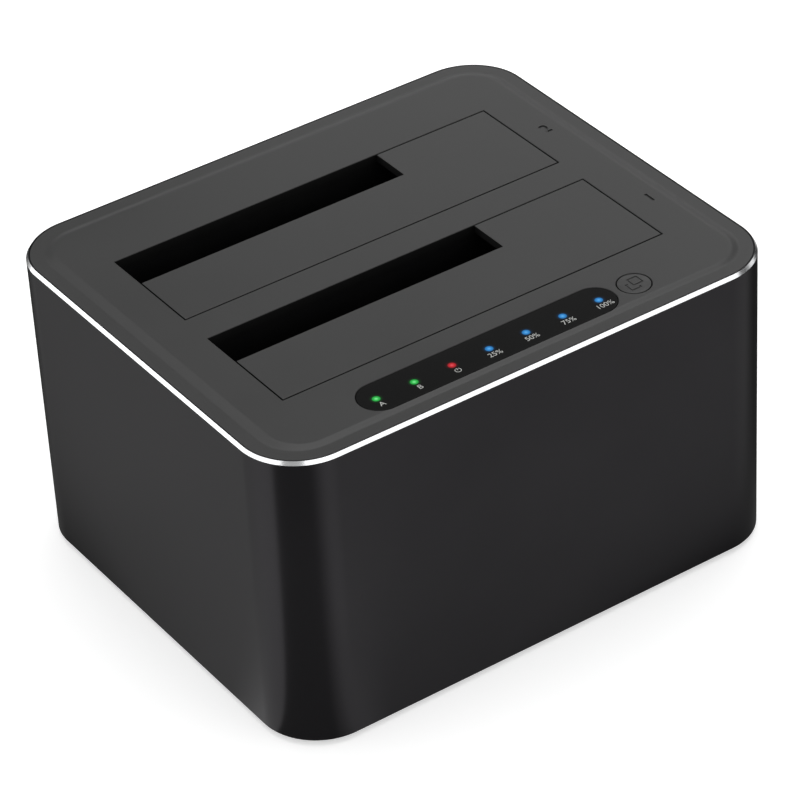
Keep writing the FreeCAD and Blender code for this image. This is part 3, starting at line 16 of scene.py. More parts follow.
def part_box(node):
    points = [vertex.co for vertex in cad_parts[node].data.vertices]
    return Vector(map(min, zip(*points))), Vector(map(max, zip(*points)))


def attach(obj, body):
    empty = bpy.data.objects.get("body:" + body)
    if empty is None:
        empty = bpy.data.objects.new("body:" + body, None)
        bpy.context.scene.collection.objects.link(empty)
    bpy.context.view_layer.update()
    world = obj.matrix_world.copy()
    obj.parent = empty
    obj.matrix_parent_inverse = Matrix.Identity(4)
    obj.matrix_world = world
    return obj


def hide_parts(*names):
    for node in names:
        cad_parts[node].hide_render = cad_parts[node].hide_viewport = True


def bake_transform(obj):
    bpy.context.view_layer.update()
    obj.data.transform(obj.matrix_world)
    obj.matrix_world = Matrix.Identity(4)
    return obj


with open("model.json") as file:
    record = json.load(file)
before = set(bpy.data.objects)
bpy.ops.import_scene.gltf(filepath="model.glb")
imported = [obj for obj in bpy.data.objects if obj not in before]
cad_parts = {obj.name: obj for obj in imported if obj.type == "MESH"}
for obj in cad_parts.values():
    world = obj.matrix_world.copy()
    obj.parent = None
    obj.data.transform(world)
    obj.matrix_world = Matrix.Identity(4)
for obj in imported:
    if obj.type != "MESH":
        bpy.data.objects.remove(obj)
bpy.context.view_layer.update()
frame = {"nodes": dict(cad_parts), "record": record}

MM = 0.001


def in_mm(corners):
    """The two corners of a box, in millimetres."""
    return [corner / MM for corner in corners]


# %% [markdown]
# ## Sizes
# Places come from the CAD nodes' own boxes. Only the small sizes that a box can't
# tell, such as a wall or a chamfer, are written here, in millimetres.

# %% Measure the CAD nodes
SLEEVE_LOW, SLEEVE_HIGH = in_mm(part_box("outer_sleeve"))
COVER_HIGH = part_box("top_cover")[1] / MM
WINDOW_LOW, WINDOW_HIGH = in_mm(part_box("indicator_window"))
CASE_LENGTH = SLEEVE_HIGH.x - SLEEVE_LOW.x
CASE_DEPTH = SLEEVE_HIGH.y - SLEEVE_LOW.y
CASE_CORNER = 14.9
SLEEVE_TOP = SLEEVE_HIGH.z
PANEL_Z = COVER_HIGH.z
FLAP_GAP, BAY_DEPTH, HINGE_FROM_FRONT = 0.35, 30.1, 1.65
ARC_STEPS, TOOL_STEPS = 28, 6
OVERRUN = 1.0      # a cutter runs this far past the face it opens
HAIR = 0.001       # kept straight between two arcs
WELD = 1e-4        # points nearer than this become one
ARC_MIDDLE = 0.3   # where a rounded edge's middle point lies
print("case", round(CASE_LENGTH, 2), round(CASE_DEPTH, 2), "panel at", round(PANEL_Z, 2))

# %% [markdown]
# ## One way to make a node
# A material is a small graph. This one function adds a node, sets it up, and
# joins its inputs, so every finish below reads as a list of its parts.

# %% Material helpers
def add(tree, kind, inputs=None, **settings):
    """Add one shader node. An input is a plain value or another node's output."""
    made = tree.nodes.new("ShaderNode" + kind)
    for name, value in settings.items():
        setattr(made, name, value)
    for name, value in (inputs or {}).items():
        if isinstance(value, bpy.types.NodeSocket):
            tree.links.new(value, made.inputs[name])
        else:
            made.inputs[name].default_value = value
    return made


def linear(hex_colour):
    """An sRGB hex colour as the linear RGBA that shaders use."""
    parts = [int(hex_colour[i:i + 2], 16) / 255 for i in (1, 3, 5)]
    return [c / 12.92 if c <= 0.04045 else ((c + 0.055) / 1.055) ** 2.4 for c in parts] + [1.0]


def grain(size_mm):
    """Noise scale that gives features of this size, on coordinates in metres."""
    return 1 / (size_mm * MM)


def new_material(name):
    """An empty material with its tree, Object coordinates and surface input."""
    material = bpy.data.materials.new(name)
    material.use_nodes = True
    tree = material.node_tree
    tree.nodes.clear()
    place = add(tree, "TexCoord").outputs["Object"]
    return material, tree, place, add(tree, "OutputMaterial").inputs["Surface"]


def surface(name, low, high, roughness, grain_mm, depth_mm, cloud_mm=9.0, rough_swing=0.05,
            stretch=(1, 1, 1), strength=0.5, **shader):
    """A finish whose colour drifts between two hex values, with a fine bump over it.

    grain_mm is the texture's real size, depth_mm its depth, cloud_mm the size of the
    slow drift in colour and roughness. shader holds constants of the shader itself.
    """
    material, tree, place, output = new_material(name)
    placed = add(tree, "Mapping", {"Vector": place, "Scale": stretch}).outputs["Vector"]
    cloud = add(tree, "TexNoise", {"Vector": placed, "Scale": grain(cloud_mm), "Detail": 4.0})
    fine = add(tree, "TexNoise", {"Vector": placed, "Scale": grain(grain_mm), "Detail": 2.0})
    both = add(tree, "Math", {0: cloud.outputs["Fac"], 1: fine.outputs["Fac"]}, operation="ADD")
    half = add(tree, "Math", {0: both.outputs["Value"], 1: 0.5}, operation="MULTIPLY")
    ramp = add(tree, "ValToRGB", {"Fac": half.outputs["Value"]})
    for stop, position, shade in zip(ramp.color_ramp.elements, (0.35, 0.65), (low, high)):
        stop.position, stop.color = position, linear(shade)
    rough = add(tree, "MapRange", {"Value": cloud.outputs["Fac"], "From Min": 0.3, "From Max": 0.7,
                                   "To Min": roughness - rough_swing,
                                   "To Max": roughness + rough_swing})
    bump = add(tree, "Bump", {"Height": fine.outputs["Fac"], "Distance": depth_mm * MM,
                              "Strength": strength})
    body = add(tree, "BsdfPrincipled", {"Base Color": ramp.outputs["Color"],
                                        "Roughness": rough.outputs["Result"],
                                        "Normal": bump.outputs["Normal"],
                                        **{k.replace("_", " "): v for k, v in shader.items()}})
    tree.links.new(body.outputs["BSDF"], output)
    return material


print("helpers ready")

# %% [markdown]
# ## Finishes of the case
# The sleeve is aluminium, bead-blasted and then anodised black. The dye sits in
# clear oxide over metal, so it is a dark metal: nearly black face on, and lighter
# where it is seen at a flat angle. The blasting is 0.1 mm grit, too fine to show,
# so it is drawn at 0.25 mm and very shallow.
#
# The chamfer is milled after anodising, so bare metal shows. The cutter leaves fine
# lines along the edge, which blur a reflection a little.
#
# The cover is ABS moulded against a spark-eroded tool, which gives a fine even matt.
# The walls of its bays are given a rougher finish and painted near black, a painted shade
# so that a deep slot reads black. The same painted shade is on the walls round the window's
# seat and on the flaps' sides and undersides.

# %% Case finishes
ANODISED = surface("anodised_aluminium_black", "#363537", "#3a393b", 0.24, 0.25, 0.003,
                   cloud_mm=30.0, rough_swing=0.01, Metallic=1.0)
CUT_EDGE = surface("cut_aluminium_bright", "#f2f3f5", "#fafbfc", 0.2, 0.12, 0.004,
                   cloud_mm=14.0, rough_swing=0.03, Metallic=1.0)
COVER_ABS = surface("abs_spark_textured", "#2a2a2a", "#2e2e2e", 0.37, 0.22, 0.012,
                    cloud_mm=24.0, rough_swing=0.02, IOR=1.5)
# Painted shade: the bay walls are the cover's own ABS, drawn near black so the slots read dark.
BAY_PAINTED_SHADE = surface("abs_bay_painted_shade", "#070707", "#0a0a0a", 0.7, 0.3, 0.02, IOR=1.5,
                  Specular_IOR_Level=0.2)
KEY_ABS = surface("abs_key_textured", "#2a2a2a", "#2e2e2e", 0.4, 0.22, 0.012,
                  cloud_mm=12.0, IOR=1.5)
BASE_ABS = surface("abs_base_moulded", "#1f1f20", "#252526", 0.55, 0.3, 0.03, IOR=1.5)
WELL_ABS = surface("abs_well_moulded", "#09090a", "#0d0d0e", 0.6, 0.35, 0.03, IOR=1.5,
                   Specular_IOR_Level=0.2)
print("case finishes ready")

# %% [markdown]
# ## Making a piece
# Most of this object is a run of round-cornered outlines, one inside or above the
# next. An outline could be typed as a list of points, but a square whose four
# corners are bevelled gives true arcs and always the same number of points, so any
# two outlines can be bridged into a clean band of faces.

# %% Mesh helpers
def outline(bm, length, depth, radius, z, middle=(0, 0), steps=ARC_STEPS):
    """A round-cornered rectangle at height z. Returns its one face."""
    before = set(bm.verts)
    matrix = Matrix.Translation((middle[0], middle[1], z)) @ Matrix.Diagonal(
        (length, depth, 1, 1))
    bmesh.ops.create_grid(bm, x_segments=1, y_segments=1, size=0.5, matrix=matrix)
    corners = [v for v in bm.verts if v not in before]
    if radius > 0:
        bmesh.ops.bevel(bm, geom=corners, offset=radius, offset_type="OFFSET", segments=steps,
                        profile=0.5, affect="VERTICES", material=-1, clamp_overlap=False)
    made = [v for v in bm.verts if v not in before]
    return made[0].link_faces[0]


def stack(bm, levels, closed=False):
    """Outlines one after the other, joined by bands. Returns the bands in order."""
    faces = [outline(bm, *level) for level in levels]
    after = faces[1:] + faces[:1] if closed else faces[1:]
    bands = [bmesh.ops.bridge_loops(bm, edges=[*a.edges, *b.edges])["faces"]
             for a, b in zip(faces, after)]
    bmesh.ops.delete(bm, geom=faces if closed else faces[1:-1], context="FACES_ONLY")
    return bands


Z_TO_Y = Matrix.Rotation(-math.pi / 2, 4, "X")


def lathe(bm, profile, axis="Z", middle=(0, 0, 0), steps=64):
    """Spin a profile of (radius, height) points round an axis through middle."""
    verts = [bm.verts.new((radius, 0, height)) for radius, height in profile]
    edges = [bm.edges.new(pair) for pair in zip(verts, verts[1:])]
    before = set(bm.verts) - set(verts)
    bmesh.ops.spin(bm, geom=verts + edges, cent=(0, 0, 0), axis=(0, 0, 1),
                   angle=2 * math.pi, steps=steps, use_merge=True)
    made = [v for v in bm.verts if v not in before]
    bmesh.ops.remove_doubles(bm, verts=made, dist=1e-5)
    made = [v for v in bm.verts if v not in before]
    turn = Z_TO_Y if axis == "Y" else Matrix.Identity(4)
    bmesh.ops.transform(bm, matrix=Matrix.Translation(middle) @ turn, verts=made)
    return made


def new_object(name, data):
    """An object in the scene that shows this data."""
    made = bpy.data.objects.new(name, data)
    bpy.context.scene.collection.objects.link(made)
    return made


def bare_object(name, bm, materials=()):
    """An object in metres from a bmesh in millimetres, with its materials."""
    bmesh.ops.recalc_face_normals(bm, faces=bm.faces)
    bmesh.ops.scale(bm, vec=(MM, MM, MM), verts=bm.verts)
    mesh = bpy.data.meshes.new(name)
    bm.to_mesh(mesh)
    bm.free()
    for material in materials:
        mesh.materials.append(material)
    return new_object(name, mesh)


def carve(piece, tools):
    """Take the tools away from a piece, exactly, and delete them."""
    for tool in tools:
        cut = piece.modifiers.new("carve", "BOOLEAN")
        cut.operation = "DIFFERENCE"
        cut.solver = "EXACT"
        cut.object = tool
    bpy.context.view_layer.update()
    graph = bpy.context.evaluated_depsgraph_get()
    carved = bpy.data.meshes.new_from_object(piece.evaluated_get(graph))
    tidy = bmesh.new()
    tidy.from_mesh(carved)
    bmesh.ops.dissolve_degenerate(tidy, dist=1e-7, edges=tidy.edges)
    tidy.to_mesh(carved)
    tidy.free()
    piece.modifiers.clear()
    piece.data = carved
    for tool in tools:
        bpy.data.objects.remove(tool)


SHARP_FROM = math.radians(32)


def finish_piece(piece, body, nodes=()):
    """Give a piece its shading, its body and the CAD nodes that it stands for."""
    mesh = piece.data
    mesh.polygons.foreach_set("use_smooth", [True] * len(mesh.polygons))
    mesh.set_sharp_from_angle(angle=SHARP_FROM)
    flat = piece.modifiers.new("flat_faces", "WEIGHTED_NORMAL")
    flat.keep_sharp = True
    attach(piece, body)
    if nodes:
        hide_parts(*nodes)
    print(piece.name, len(mesh.vertices), "points")


def inset_outline(inset, z):
    """Size of an outline that lies a distance inside the case's own."""
    return CASE_LENGTH - 2 * inset, CASE_DEPTH - 2 * inset, CASE_CORNER - inset, z


def box_tool(low, high, radius=0.0, axis="Z"):
    """A block to carve with, its edges along one axis rounded."""
    centre = (Vector(low) + Vector(high)) / 2
    size = Vector(high) - Vector(low)
    bm = bmesh.new()
    if axis == "Z":
        across, ends, middle = size.y, (low[2], high[2]), centre.xy
    else:
        across, ends, middle = size.z, (low[1], high[1]), (centre.x, -centre.z)
    stack(bm, [(size.x, across, radius, end, middle, TOOL_STEPS) for end in ends])
    if axis == "Y":
        bmesh.ops.transform(bm, matrix=Z_TO_Y, verts=bm.verts)
    return bare_object("tool", bm)


def lettering(text, size, extrude, bolder=0.0):
    """Mesh of letters in Blender's own font, centred and thick both ways."""
    curve = bpy.data.curves.new("lettering", "FONT")
    curve.body, curve.size, curve.offset, curve.extrude = text, size, bolder, extrude
    curve.align_x = curve.align_y = "CENTER"
    letters = new_object("lettering", curve)
    bpy.context.view_layer.update()
    graph = bpy.context.evaluated_depsgraph_get()
    mesh = bpy.data.meshes.new_from_object(letters.evaluated_get(graph))
    bpy.data.objects.remove(letters)
    return mesh


print("mesh helpers ready")

# %% [markdown]
# ## The sleeve
# An extruded tube, cut square at both ends, with ledges let in for the cover and
# the base, and a bright chamfer round the top. A block with a boolean inside it
# would do, but outlines bridged in a ring give the chamfer its own clean band of
# faces, and so its own finish.

# %% Outer sleeve
CHAMFER_WIDTH, CHAMFER_HEIGHT, TOP_LIP = 0.55, 0.85, 0.77
WALL, BASE_LIP, EDGE_BREAK = 2.4, 1.2, 0.12
COVER_EDGE, BASE_THICKNESS = 3.0, 2.4
SLEEVE_Z = SLEEVE_LOW.z
SEAT_Z, BASE_TOP_Z = SLEEVE_TOP - COVER_EDGE, SLEEVE_Z + BASE_THICKNESS
sleeve_bm = bmesh.new()
sleeve_bands = stack(sleeve_bm, [inset_outline(*level) for level in (
    (0, SLEEVE_Z + EDGE_BREAK), (0, SLEEVE_TOP - CHAMFER_HEIGHT), (CHAMFER_WIDTH, SLEEVE_TOP),
    (TOP_LIP, SLEEVE_TOP), (TOP_LIP, SEAT_Z), (WALL, SEAT_Z), (WALL, BASE_TOP_Z),
    (BASE_LIP, BASE_TOP_Z), (BASE_LIP, SLEEVE_Z), (EDGE_BREAK, SLEEVE_Z))], closed=True)
for face in sleeve_bands[1]:
    face.material_index = 1
sleeve = bare_object("anodised_sleeve", sleeve_bm, [ANODISED, CUT_EDGE])

REAR_IN, REAR_OUT = CASE_DEPTH / 2 - WALL - OVERRUN, CASE_DEPTH / 2 + OVERRUN
USB_ROOM, USB_CORNER, SWITCH_LIP, SWITCH_CORNER, JACK_WAY_R = 0.7, 0.6, 0.6, 0.5, 4.6
usb_low, usb_high = in_mm(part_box("usb_shell"))
switch_low, switch_high = in_mm(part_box("power_switch_frame"))
jack_low, jack_high = in_mm(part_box("power_jack_pin"))
jack_middle = (jack_low + jack_high) / 2
JACK_AT = (jack_middle.x, 0, jack_middle.z)
jack_bm = bmesh.new()
lathe(jack_bm, [(0, REAR_IN), (JACK_WAY_R, REAR_IN), (JACK_WAY_R, REAR_OUT), (0, REAR_OUT)],
      "Y", JACK_AT, 72)
carve(sleeve, [
    box_tool((usb_low.x - USB_ROOM, REAR_IN, usb_low.z - USB_ROOM),
             (usb_high.x + USB_ROOM, REAR_OUT, usb_high.z + USB_ROOM), USB_CORNER, "Y"),
    box_tool((switch_low.x + SWITCH_LIP, REAR_IN, switch_low.z + SWITCH_LIP),
             (switch_high.x - SWITCH_LIP, REAR_OUT, switch_high.z - SWITCH_LIP),
             SWITCH_CORNER, "Y"),
    bare_object("tool", jack_bm)])
finish_piece(sleeve, "housing", ["outer_sleeve"])

# %% [markdown]
# ## The cover
# One moulding: a flat rim, an S-shaped shoulder 0.6 mm high, the panel, and a
# skirt that slides into the sleeve. The shoulder catches light on one side of the
# case and goes dark on the other, so it is built from many narrow bands along a
# cosine. In front it is a little narrower, to leave the window's seat flat. The
# bays, the window's seat and the key's hole are carved, each with a hair of chamfer,
# as a moulding tool leaves it.

# %% Top cover
RIM_WIDTH, SHOULDER_WIDTH, FRONT_SHOULDER, SHOULDER_STEPS = 3.0, 3.2, 2.2, 16
COVER_INSET, SKIRT_INSET, SKIRT_WALL, SKIRT_DEPTH, COVER_WALL = 0.87, 2.55, 1.5, 4.0, 2.4
MOULD_EDGE = 0.12
PANEL_RISE = PANEL_Z - SLEEVE_TOP
COVER_UNDER = PANEL_Z - COVER_WALL
levels = [inset_outline(*level) for level in (
    (COVER_INSET, SEAT_Z), (COVER_INSET, SLEEVE_TOP - MOULD_EDGE),
    (COVER_INSET + MOULD_EDGE, SLEEVE_TOP))]
for step in range(SHOULDER_STEPS + 1):
    along = step / SHOULDER_STEPS
    length, depth, radius, z = inset_outline(
        COVER_INSET + RIM_WIDTH + SHOULDER_WIDTH * along,
        SLEEVE_TOP + PANEL_RISE * (1 - math.cos(math.pi * along)) / 2)
    spare = (SHOULDER_WIDTH - FRONT_SHOULDER) * along
    levels.append((length, depth + spare, radius, z, (0, -spare / 2)))
under = [(SKIRT_INSET + SKIRT_WALL, COVER_UNDER), (SKIRT_INSET + SKIRT_WALL, SEAT_Z - SKIRT_DEPTH),
         (SKIRT_INSET, SEAT_Z - SKIRT_DEPTH), (SKIRT_INSET, SEAT_Z)]
cover_bm = bmesh.new()
stack(cover_bm, [inset_outline(*level) for level in under] + levels)
cover = bare_object("moulded_cover", cover_bm, [COVER_ABS, BAY_PAINTED_SHADE])


def flared_tool(length, depth, radius, middle, floor_z, steps=TOOL_STEPS):
    """A cutter whose mouth opens by the mould edge at the panel."""
    flare = MOULD_EDGE + OVERRUN
    bm = bmesh.new()
    stack(bm, [(length, depth, radius, floor_z, middle, steps),
               (length, depth, radius, PANEL_Z - MOULD_EDGE, middle, steps),
               (length + 2 * flare, depth + 2 * flare, radius + MOULD_EDGE + OVERRUN,
                PANEL_Z + OVERRUN, middle, steps)])
    return bare_object("tool", bm)


ENGRAVING, ENGRAVED_BOLDER, TOOL_PROUD = 0.3, 0.11, 0.1
NUMERAL_SIZE, NUMERAL_DROP = 4.6, 1.2


def words_tool(text, middle):
    """A numeral as a cutter, from above the panel to the engraving's depth."""
    bm = bmesh.new()
    bm.from_mesh(lettering(text, NUMERAL_SIZE, ENGRAVING + TOOL_PROUD, ENGRAVED_BOLDER))
    bmesh.ops.remove_doubles(bm, verts=bm.verts, dist=WELD)
    bmesh.ops.translate(bm, vec=(middle[0], middle[1], PANEL_Z + TOOL_PROUD), verts=bm.verts)
    return bare_object("tool", bm)


BAYS = {}
for side in ("rear", "front"):
    low, high = in_mm(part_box(side + "_flap"))
    hinge = in_mm(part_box(side + "_hinge_rod"))
    axis = (hinge[0] + hinge[1]) / 2
    back = axis.y - HINGE_FROM_FRONT + BAY_DEPTH
    x0, x1, y0, y1 = area = (low.x - FLAP_GAP, high.x + FLAP_GAP, back - BAY_DEPTH, back)
    BAYS[side] = {"area": area, "middle": ((x0 + x1) / 2, (y0 + y1) / 2), "axis": axis}
    print(side, "bay", [round(v, 2) for v in area])

WINDOW_LENGTH, WINDOW_WIDTH = WINDOW_HIGH.x - WINDOW_LOW.x, WINDOW_HIGH.y - WINDOW_LOW.y
WINDOW_MIDDLE = ((WINDOW_LOW.x + WINDOW_HIGH.x) / 2, (WINDOW_LOW.y + WINDOW_HIGH.y) / 2)
KEY_LOW, KEY_HIGH = in_mm(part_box("clone_button"))
KEY_MIDDLE = ((KEY_LOW.x + KEY_HIGH.x) / 2, (KEY_LOW.y + KEY_HIGH.y) / 2)
SEAT_GAP, WINDOW_LEDGE, KEY_R, KEY_GAP, BAY_CORNER = 0.18, 1.7, 3.9, 0.2, 0.15
TOOL_FLOOR, LEDGE_TOOL_TOP = COVER_UNDER - 3, PANEL_Z - 0.5
tools = []
for bay in BAYS.values():
    x0, x1, y0, y1 = bay["area"]
    tools.append(flared_tool(x1 - x0, y1 - y0, BAY_CORNER, bay["middle"], TOOL_FLOOR))
seat = (WINDOW_LENGTH + 2 * SEAT_GAP, WINDOW_WIDTH + 2 * SEAT_GAP)
tools.append(flared_tool(seat[0], seat[1], seat[1] / 2 - HAIR, WINDOW_MIDDLE, WINDOW_LOW.z,
                         ARC_STEPS))
through = WINDOW_WIDTH - 2 * WINDOW_LEDGE
ledge_bm = bmesh.new()
stack(ledge_bm, [(WINDOW_LENGTH - 2 * WINDOW_LEDGE, through, through / 2 - HAIR, z, WINDOW_MIDDLE)
                 for z in (TOOL_FLOOR, LEDGE_TOOL_TOP)])
tools.append(bare_object("tool", ledge_bm))
hole = 2 * (KEY_R + KEY_GAP)
tools.append(flared_tool(hole, hole, hole / 2 - HAIR, KEY_MIDDLE, TOOL_FLOOR, ARC_STEPS))
for text, side, x in (("2", "rear", 57.7), ("1", "front", 58.4)):
    tools.append(words_tool(text, (x, BAYS[side]["middle"][1] - NUMERAL_DROP)))
carve(cover, tools)
UPRIGHT, MARGIN = 0.3, 0.3
# Upright faces in the bays and round the window's seat take the near-black second finish: painted
# shade.
painted_shade_areas = [bay["area"] for bay in BAYS.values()]
painted_shade_areas.append((WINDOW_LOW.x, WINDOW_HIGH.x, WINDOW_LOW.y, WINDOW_HIGH.y))
for face in cover.data.polygons:
    at = face.center / MM
    if abs(face.normal.z) < UPRIGHT and at.z < PANEL_Z - MOULD_EDGE and any(
            x0 - MARGIN < at.x < x1 + MARGIN and y0 - MARGIN < at.y < y1 + MARGIN
            for x0, x1, y0, y1 in painted_shade_areas):
        face.material_index = 1
finish_piece(cover, "housing", ["top_cover"])

# %% [markdown]
# ## The flaps
# Each flap is an L-shaped plate with a barrel, ribs, a stop tab and a pocket for
# its spring, and the CAD already has those shapes right. Modelling them again would
# risk a misfit, so a copy of the CAD mesh is cleaned up instead: its points are
# merged, its flat triangles dissolved, and the edges of its top face bevelled.

# %% Flaps
CAD_WELD, FLAT_DEGREES = 0.002, 1


def cad_copy(node):
    """A cleaned copy of a CAD node's mesh, in millimetres."""
    bm = bmesh.new()
    bm.from_mesh(frame["nodes"][node].data)
    bmesh.ops.scale(bm, vec=(1 / MM,) * 3, verts=bm.verts)
    bmesh.ops.remove_doubles(bm, verts=bm.verts, dist=CAD_WELD)
    bmesh.ops.dissolve_limit(bm, angle_limit=math.radians(FLAT_DEGREES), verts=bm.verts,
                             edges=bm.edges)
    return bm


def break_edges(bm, chosen, width):
    """Bevel the chosen edges a little, as a moulding tool or a file leaves them."""
    bmesh.ops.bevel(bm, geom=chosen, offset=width, offset_type="OFFSET", segments=2,
                    profile=0.5, affect="EDGES", material=-1)


for side in ("front", "rear"):
    flap_bm = cad_copy(side + "_flap")
    rim = [e for e in flap_bm.edges
           if all(abs(v.co.z - PANEL_Z) < 0.01 for v in e.verts) and e.calc_face_angle(0) > 1]
    break_edges(flap_bm, rim, MOULD_EDGE)
    flap_bm.normal_update()
    # The flap's sides and underside take the near-black bay finish, a painted shade; its top keeps
    # the cover's ABS.
    for face in flap_bm.faces:
        face.material_index = 0 if face.normal.z > UPRIGHT else 1
    flap = bare_object(side + "_flap_plate", flap_bm, [COVER_ABS, BAY_PAINTED_SHADE])
    finish_piece(flap, side + "_flap_body", [side + "_flap"])

# %% [markdown]
# ## Under the cover
# Screw posts with fins, and hooks that hold the wells, hang from the cover. They
# are moulded with it, but the piece above is only its plate and skirt. The same CAD
# copy gives them: it is cut just under the plate, and what hangs from the skirt's
# own ring is dropped.

# %% Posts and hooks
posts_bm = cad_copy("top_cover")
CUT_BELOW, RING_MARGIN, SLIVER = 0.02, 0.1, 1e-3
whole = posts_bm.verts[:] + posts_bm.edges[:] + posts_bm.faces[:]
cut = bmesh.ops.bisect_plane(posts_bm, geom=whole, dist=WELD,
                             plane_co=(0, 0, COVER_UNDER - CUT_BELOW), plane_no=(0, 0, 1),
                             clear_outer=True)
bmesh.ops.triangle_fill(posts_bm, edges=[g for g in cut["geom_cut"]
                                         if isinstance(g, bmesh.types.BMEdge)],
                        use_beauty=True, use_dissolve=True, normal=(0, 0, 1))
SKIRT_INNER = CASE_LENGTH / 2 - SKIRT_INSET - SKIRT_WALL
ring = {v for v in posts_bm.verts if abs(v.co.x) > SKIRT_INNER - RING_MARGIN}
reach = ring
while reach:
    reach = {e.other_vert(v) for v in reach for e in v.link_edges} - ring
    ring |= reach
bmesh.ops.delete(posts_bm, geom=list(ring), context="VERTS")
bmesh.ops.dissolve_degenerate(posts_bm, dist=SLIVER, edges=posts_bm.edges)
finish_piece(bare_object("cover_posts_and_hooks", posts_bm, [COVER_ABS]), "housing")

# %% [markdown]
# ## Metals
# The hinge rods are ground steel and the screws are zinc plated. The springs are
# drawn wire, with fine lines along it. The contacts have a flash of gold over
# nickel, and the data socket's shell is nickel-plated steel, folded from sheet.

# %% Metal finishes
ZINC = surface("steel_zinc_plated", "#b9bcc0", "#cdd0d3", 0.32, 0.2, 0.006, 3.0, Metallic=1.0)
GROUND = surface("steel_ground", "#b4b6b8", "#c6c8ca", 0.24, 0.1, 0.003, 4.0, Metallic=1.0)
WIRE = surface("steel_spring_wire", "#a9abae", "#c2c4c6", 0.28, 0.08, 0.004, 2.0, Metallic=1.0)
GOLD = surface("gold_flash", "#d9a953", "#e8bd6b", 0.25, 0.15, 0.003, 2.0, Metallic=1.0)
NICKEL = surface("steel_nickel_plated", "#bdbab4", "#d0cdc7", 0.27, 0.25, 0.004, 5.0,
                 Metallic=1.0)
CAN = surface("aluminium_can", "#c3c5c8", "#d8dadc", 0.3, 0.2, 0.004, 4.0, Metallic=1.0)
print("metal finishes ready")

# %% [markdown]
# ## The hinge springs
# The CAD has the close coils as a plain tube. The real one is wire wound three
# times and a quarter round the rod, with one leg on the well and one under the flap.
# A circle spun round the axis, and moved a little along it at each step, winds the
# coils. Then each end is extruded into its leg.

# %% Springs
WIRE_R, COIL_R, LEG, TURNS, COIL_STEPS = 0.2, 0.88, 6.0, 3.25, 104
for side, bay in BAYS.items():
    low, high = in_mm(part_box(side + "_flap_spring"))
    axis = bay["axis"]
    bm = bmesh.new()
    start = Vector((low.x + WIRE_R, axis.y - COIL_R, axis.z))
    matrix = Matrix.Translation(start)
    ring = bmesh.ops.create_circle(bm, segments=12, radius=WIRE_R, matrix=matrix)["verts"]
    ring_edges = list({e for v in ring for e in v.link_edges})
    pitch = (high.x - low.x - 2 * WIRE_R) / COIL_STEPS
    spun = bmesh.ops.spin(bm, geom=ring + ring_edges, cent=axis, axis=(1, 0, 0),
                          dvec=(pitch, 0, 0), angle=TURNS * 2 * math.pi, steps=COIL_STEPS)
    end_edges = [g for g in spun["geom_last"] if isinstance(g, bmesh.types.BMEdge)]
    for edges, away in ((ring_edges, Vector((0, 0, -1))), (end_edges, Vector((0, 1, 0)))):
        leg = bmesh.ops.extrude_edge_only(bm, edges=edges)["geom"]
        tip = [g for g in leg if isinstance(g, bmesh.types.BMVert)]
        bmesh.ops.translate(bm, vec=away * LEG, verts=tip)
        bmesh.ops.contextual_create(bm, geom=tip + [g for g in leg
                                                    if isinstance(g, bmesh.types.BMEdge)])
    spring = bare_object(side + "_hinge_spring", bm, [WIRE])
    print(side, "spring", [round(c / MM, 2) for c in spring.dimensions])
    spring.data.polygons.foreach_set("use_smooth", [True] * len(spring.data.polygons))
    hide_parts(side + "_flap_spring")
    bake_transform(spring)

# %% [markdown]
# ## The indicator window
# A thin plate of smoked acrylic, polished, flush with the panel. It is nearly black,
# so what the eye sees is its gloss. A drop of gloss paint would look the same from
# far away, but the plate's own bevelled edge is what draws its outline.

# %% Window
SMOKED = surface("acrylic_smoked", "#0b0b0b", "#0d0d0d", 0.1, 1.2, 0.001, 12.0,
                 rough_swing=0.02, strength=0.1, IOR=1.49, Specular_IOR_Level=0.15)
WINDOW_SUNK, WINDOW_EDGE = 0.05, 0.12
WINDOW_TOP = PANEL_Z - WINDOW_SUNK
window_bm = bmesh.new()
stack(window_bm, [(WINDOW_LENGTH - 2 * i, WINDOW_WIDTH - 2 * i, WINDOW_WIDTH / 2 - i - HAIR, z,
                   WINDOW_MIDDLE)
                  for i, z in ((0, WINDOW_LOW.z), (0, WINDOW_TOP - WINDOW_EDGE),
                               (WINDOW_EDGE * ARC_MIDDLE, WINDOW_TOP - WINDOW_EDGE * ARC_MIDDLE),
                               (WINDOW_EDGE, WINDOW_TOP))])
finish_piece(bare_object("smoked_window", window_bm, [SMOKED]), "housing",
             ["indicator_window"])

# %% [markdown]
# ## The lights
# A light shows through the window as a small bright dot, a touch paler in its
# middle, with a weak glow round it. A lamp under real smoked glass would be slow
# and noisy. A thin disc on the window, whose own UV map holds the distance from the
# dot's middle, gives the same picture from every side.

# %% Light dots
DOT_R, GLOW_R, DISC_THICK, DISC_SUNK = 0.92, 1.7, 0.01, 0.02


def light_material(name, core, edge):
    """Glow that falls off with the distance kept in the UV map, over smoked acrylic."""
    material, tree, _, output = new_material(name)
    uv = add(tree, "TexCoord").outputs["UV"]
    reach = add(tree, "VectorMath", {0: uv}, operation="LENGTH").outputs["Value"]
    ramp = add(tree, "ValToRGB", {"Fac": reach})
    stops = ramp.color_ramp.elements
    lit = DOT_R / GLOW_R
    stops[0].position, stops[0].color = 0.0, linear(core)
    stops[1].position, stops[1].color = lit * 0.62, linear(edge)
    for position, share in ((lit * 0.94, 0.7), (lit * 1.1, 0.08), (0.8, 0.02), (1.0, 0.0)):
        stop = stops.new(position)
        stop.color = [c * share for c in linear(edge)[:3]] + [1.0]
    glow = add(tree, "Emission", {"Color": ramp.outputs["Color"], "Strength": 1.0})
    gloss = add(tree, "BsdfPrincipled", {"Base Color": linear("#0c0c0c"), "Roughness": 0.1,
                                         "IOR": 1.49, "Specular IOR Level": 0.15})
    both = add(tree, "AddShader", {0: glow.outputs["Emission"], 1: gloss.outputs["BSDF"]})
    tree.links.new(both.outputs["Shader"], output)
    return material


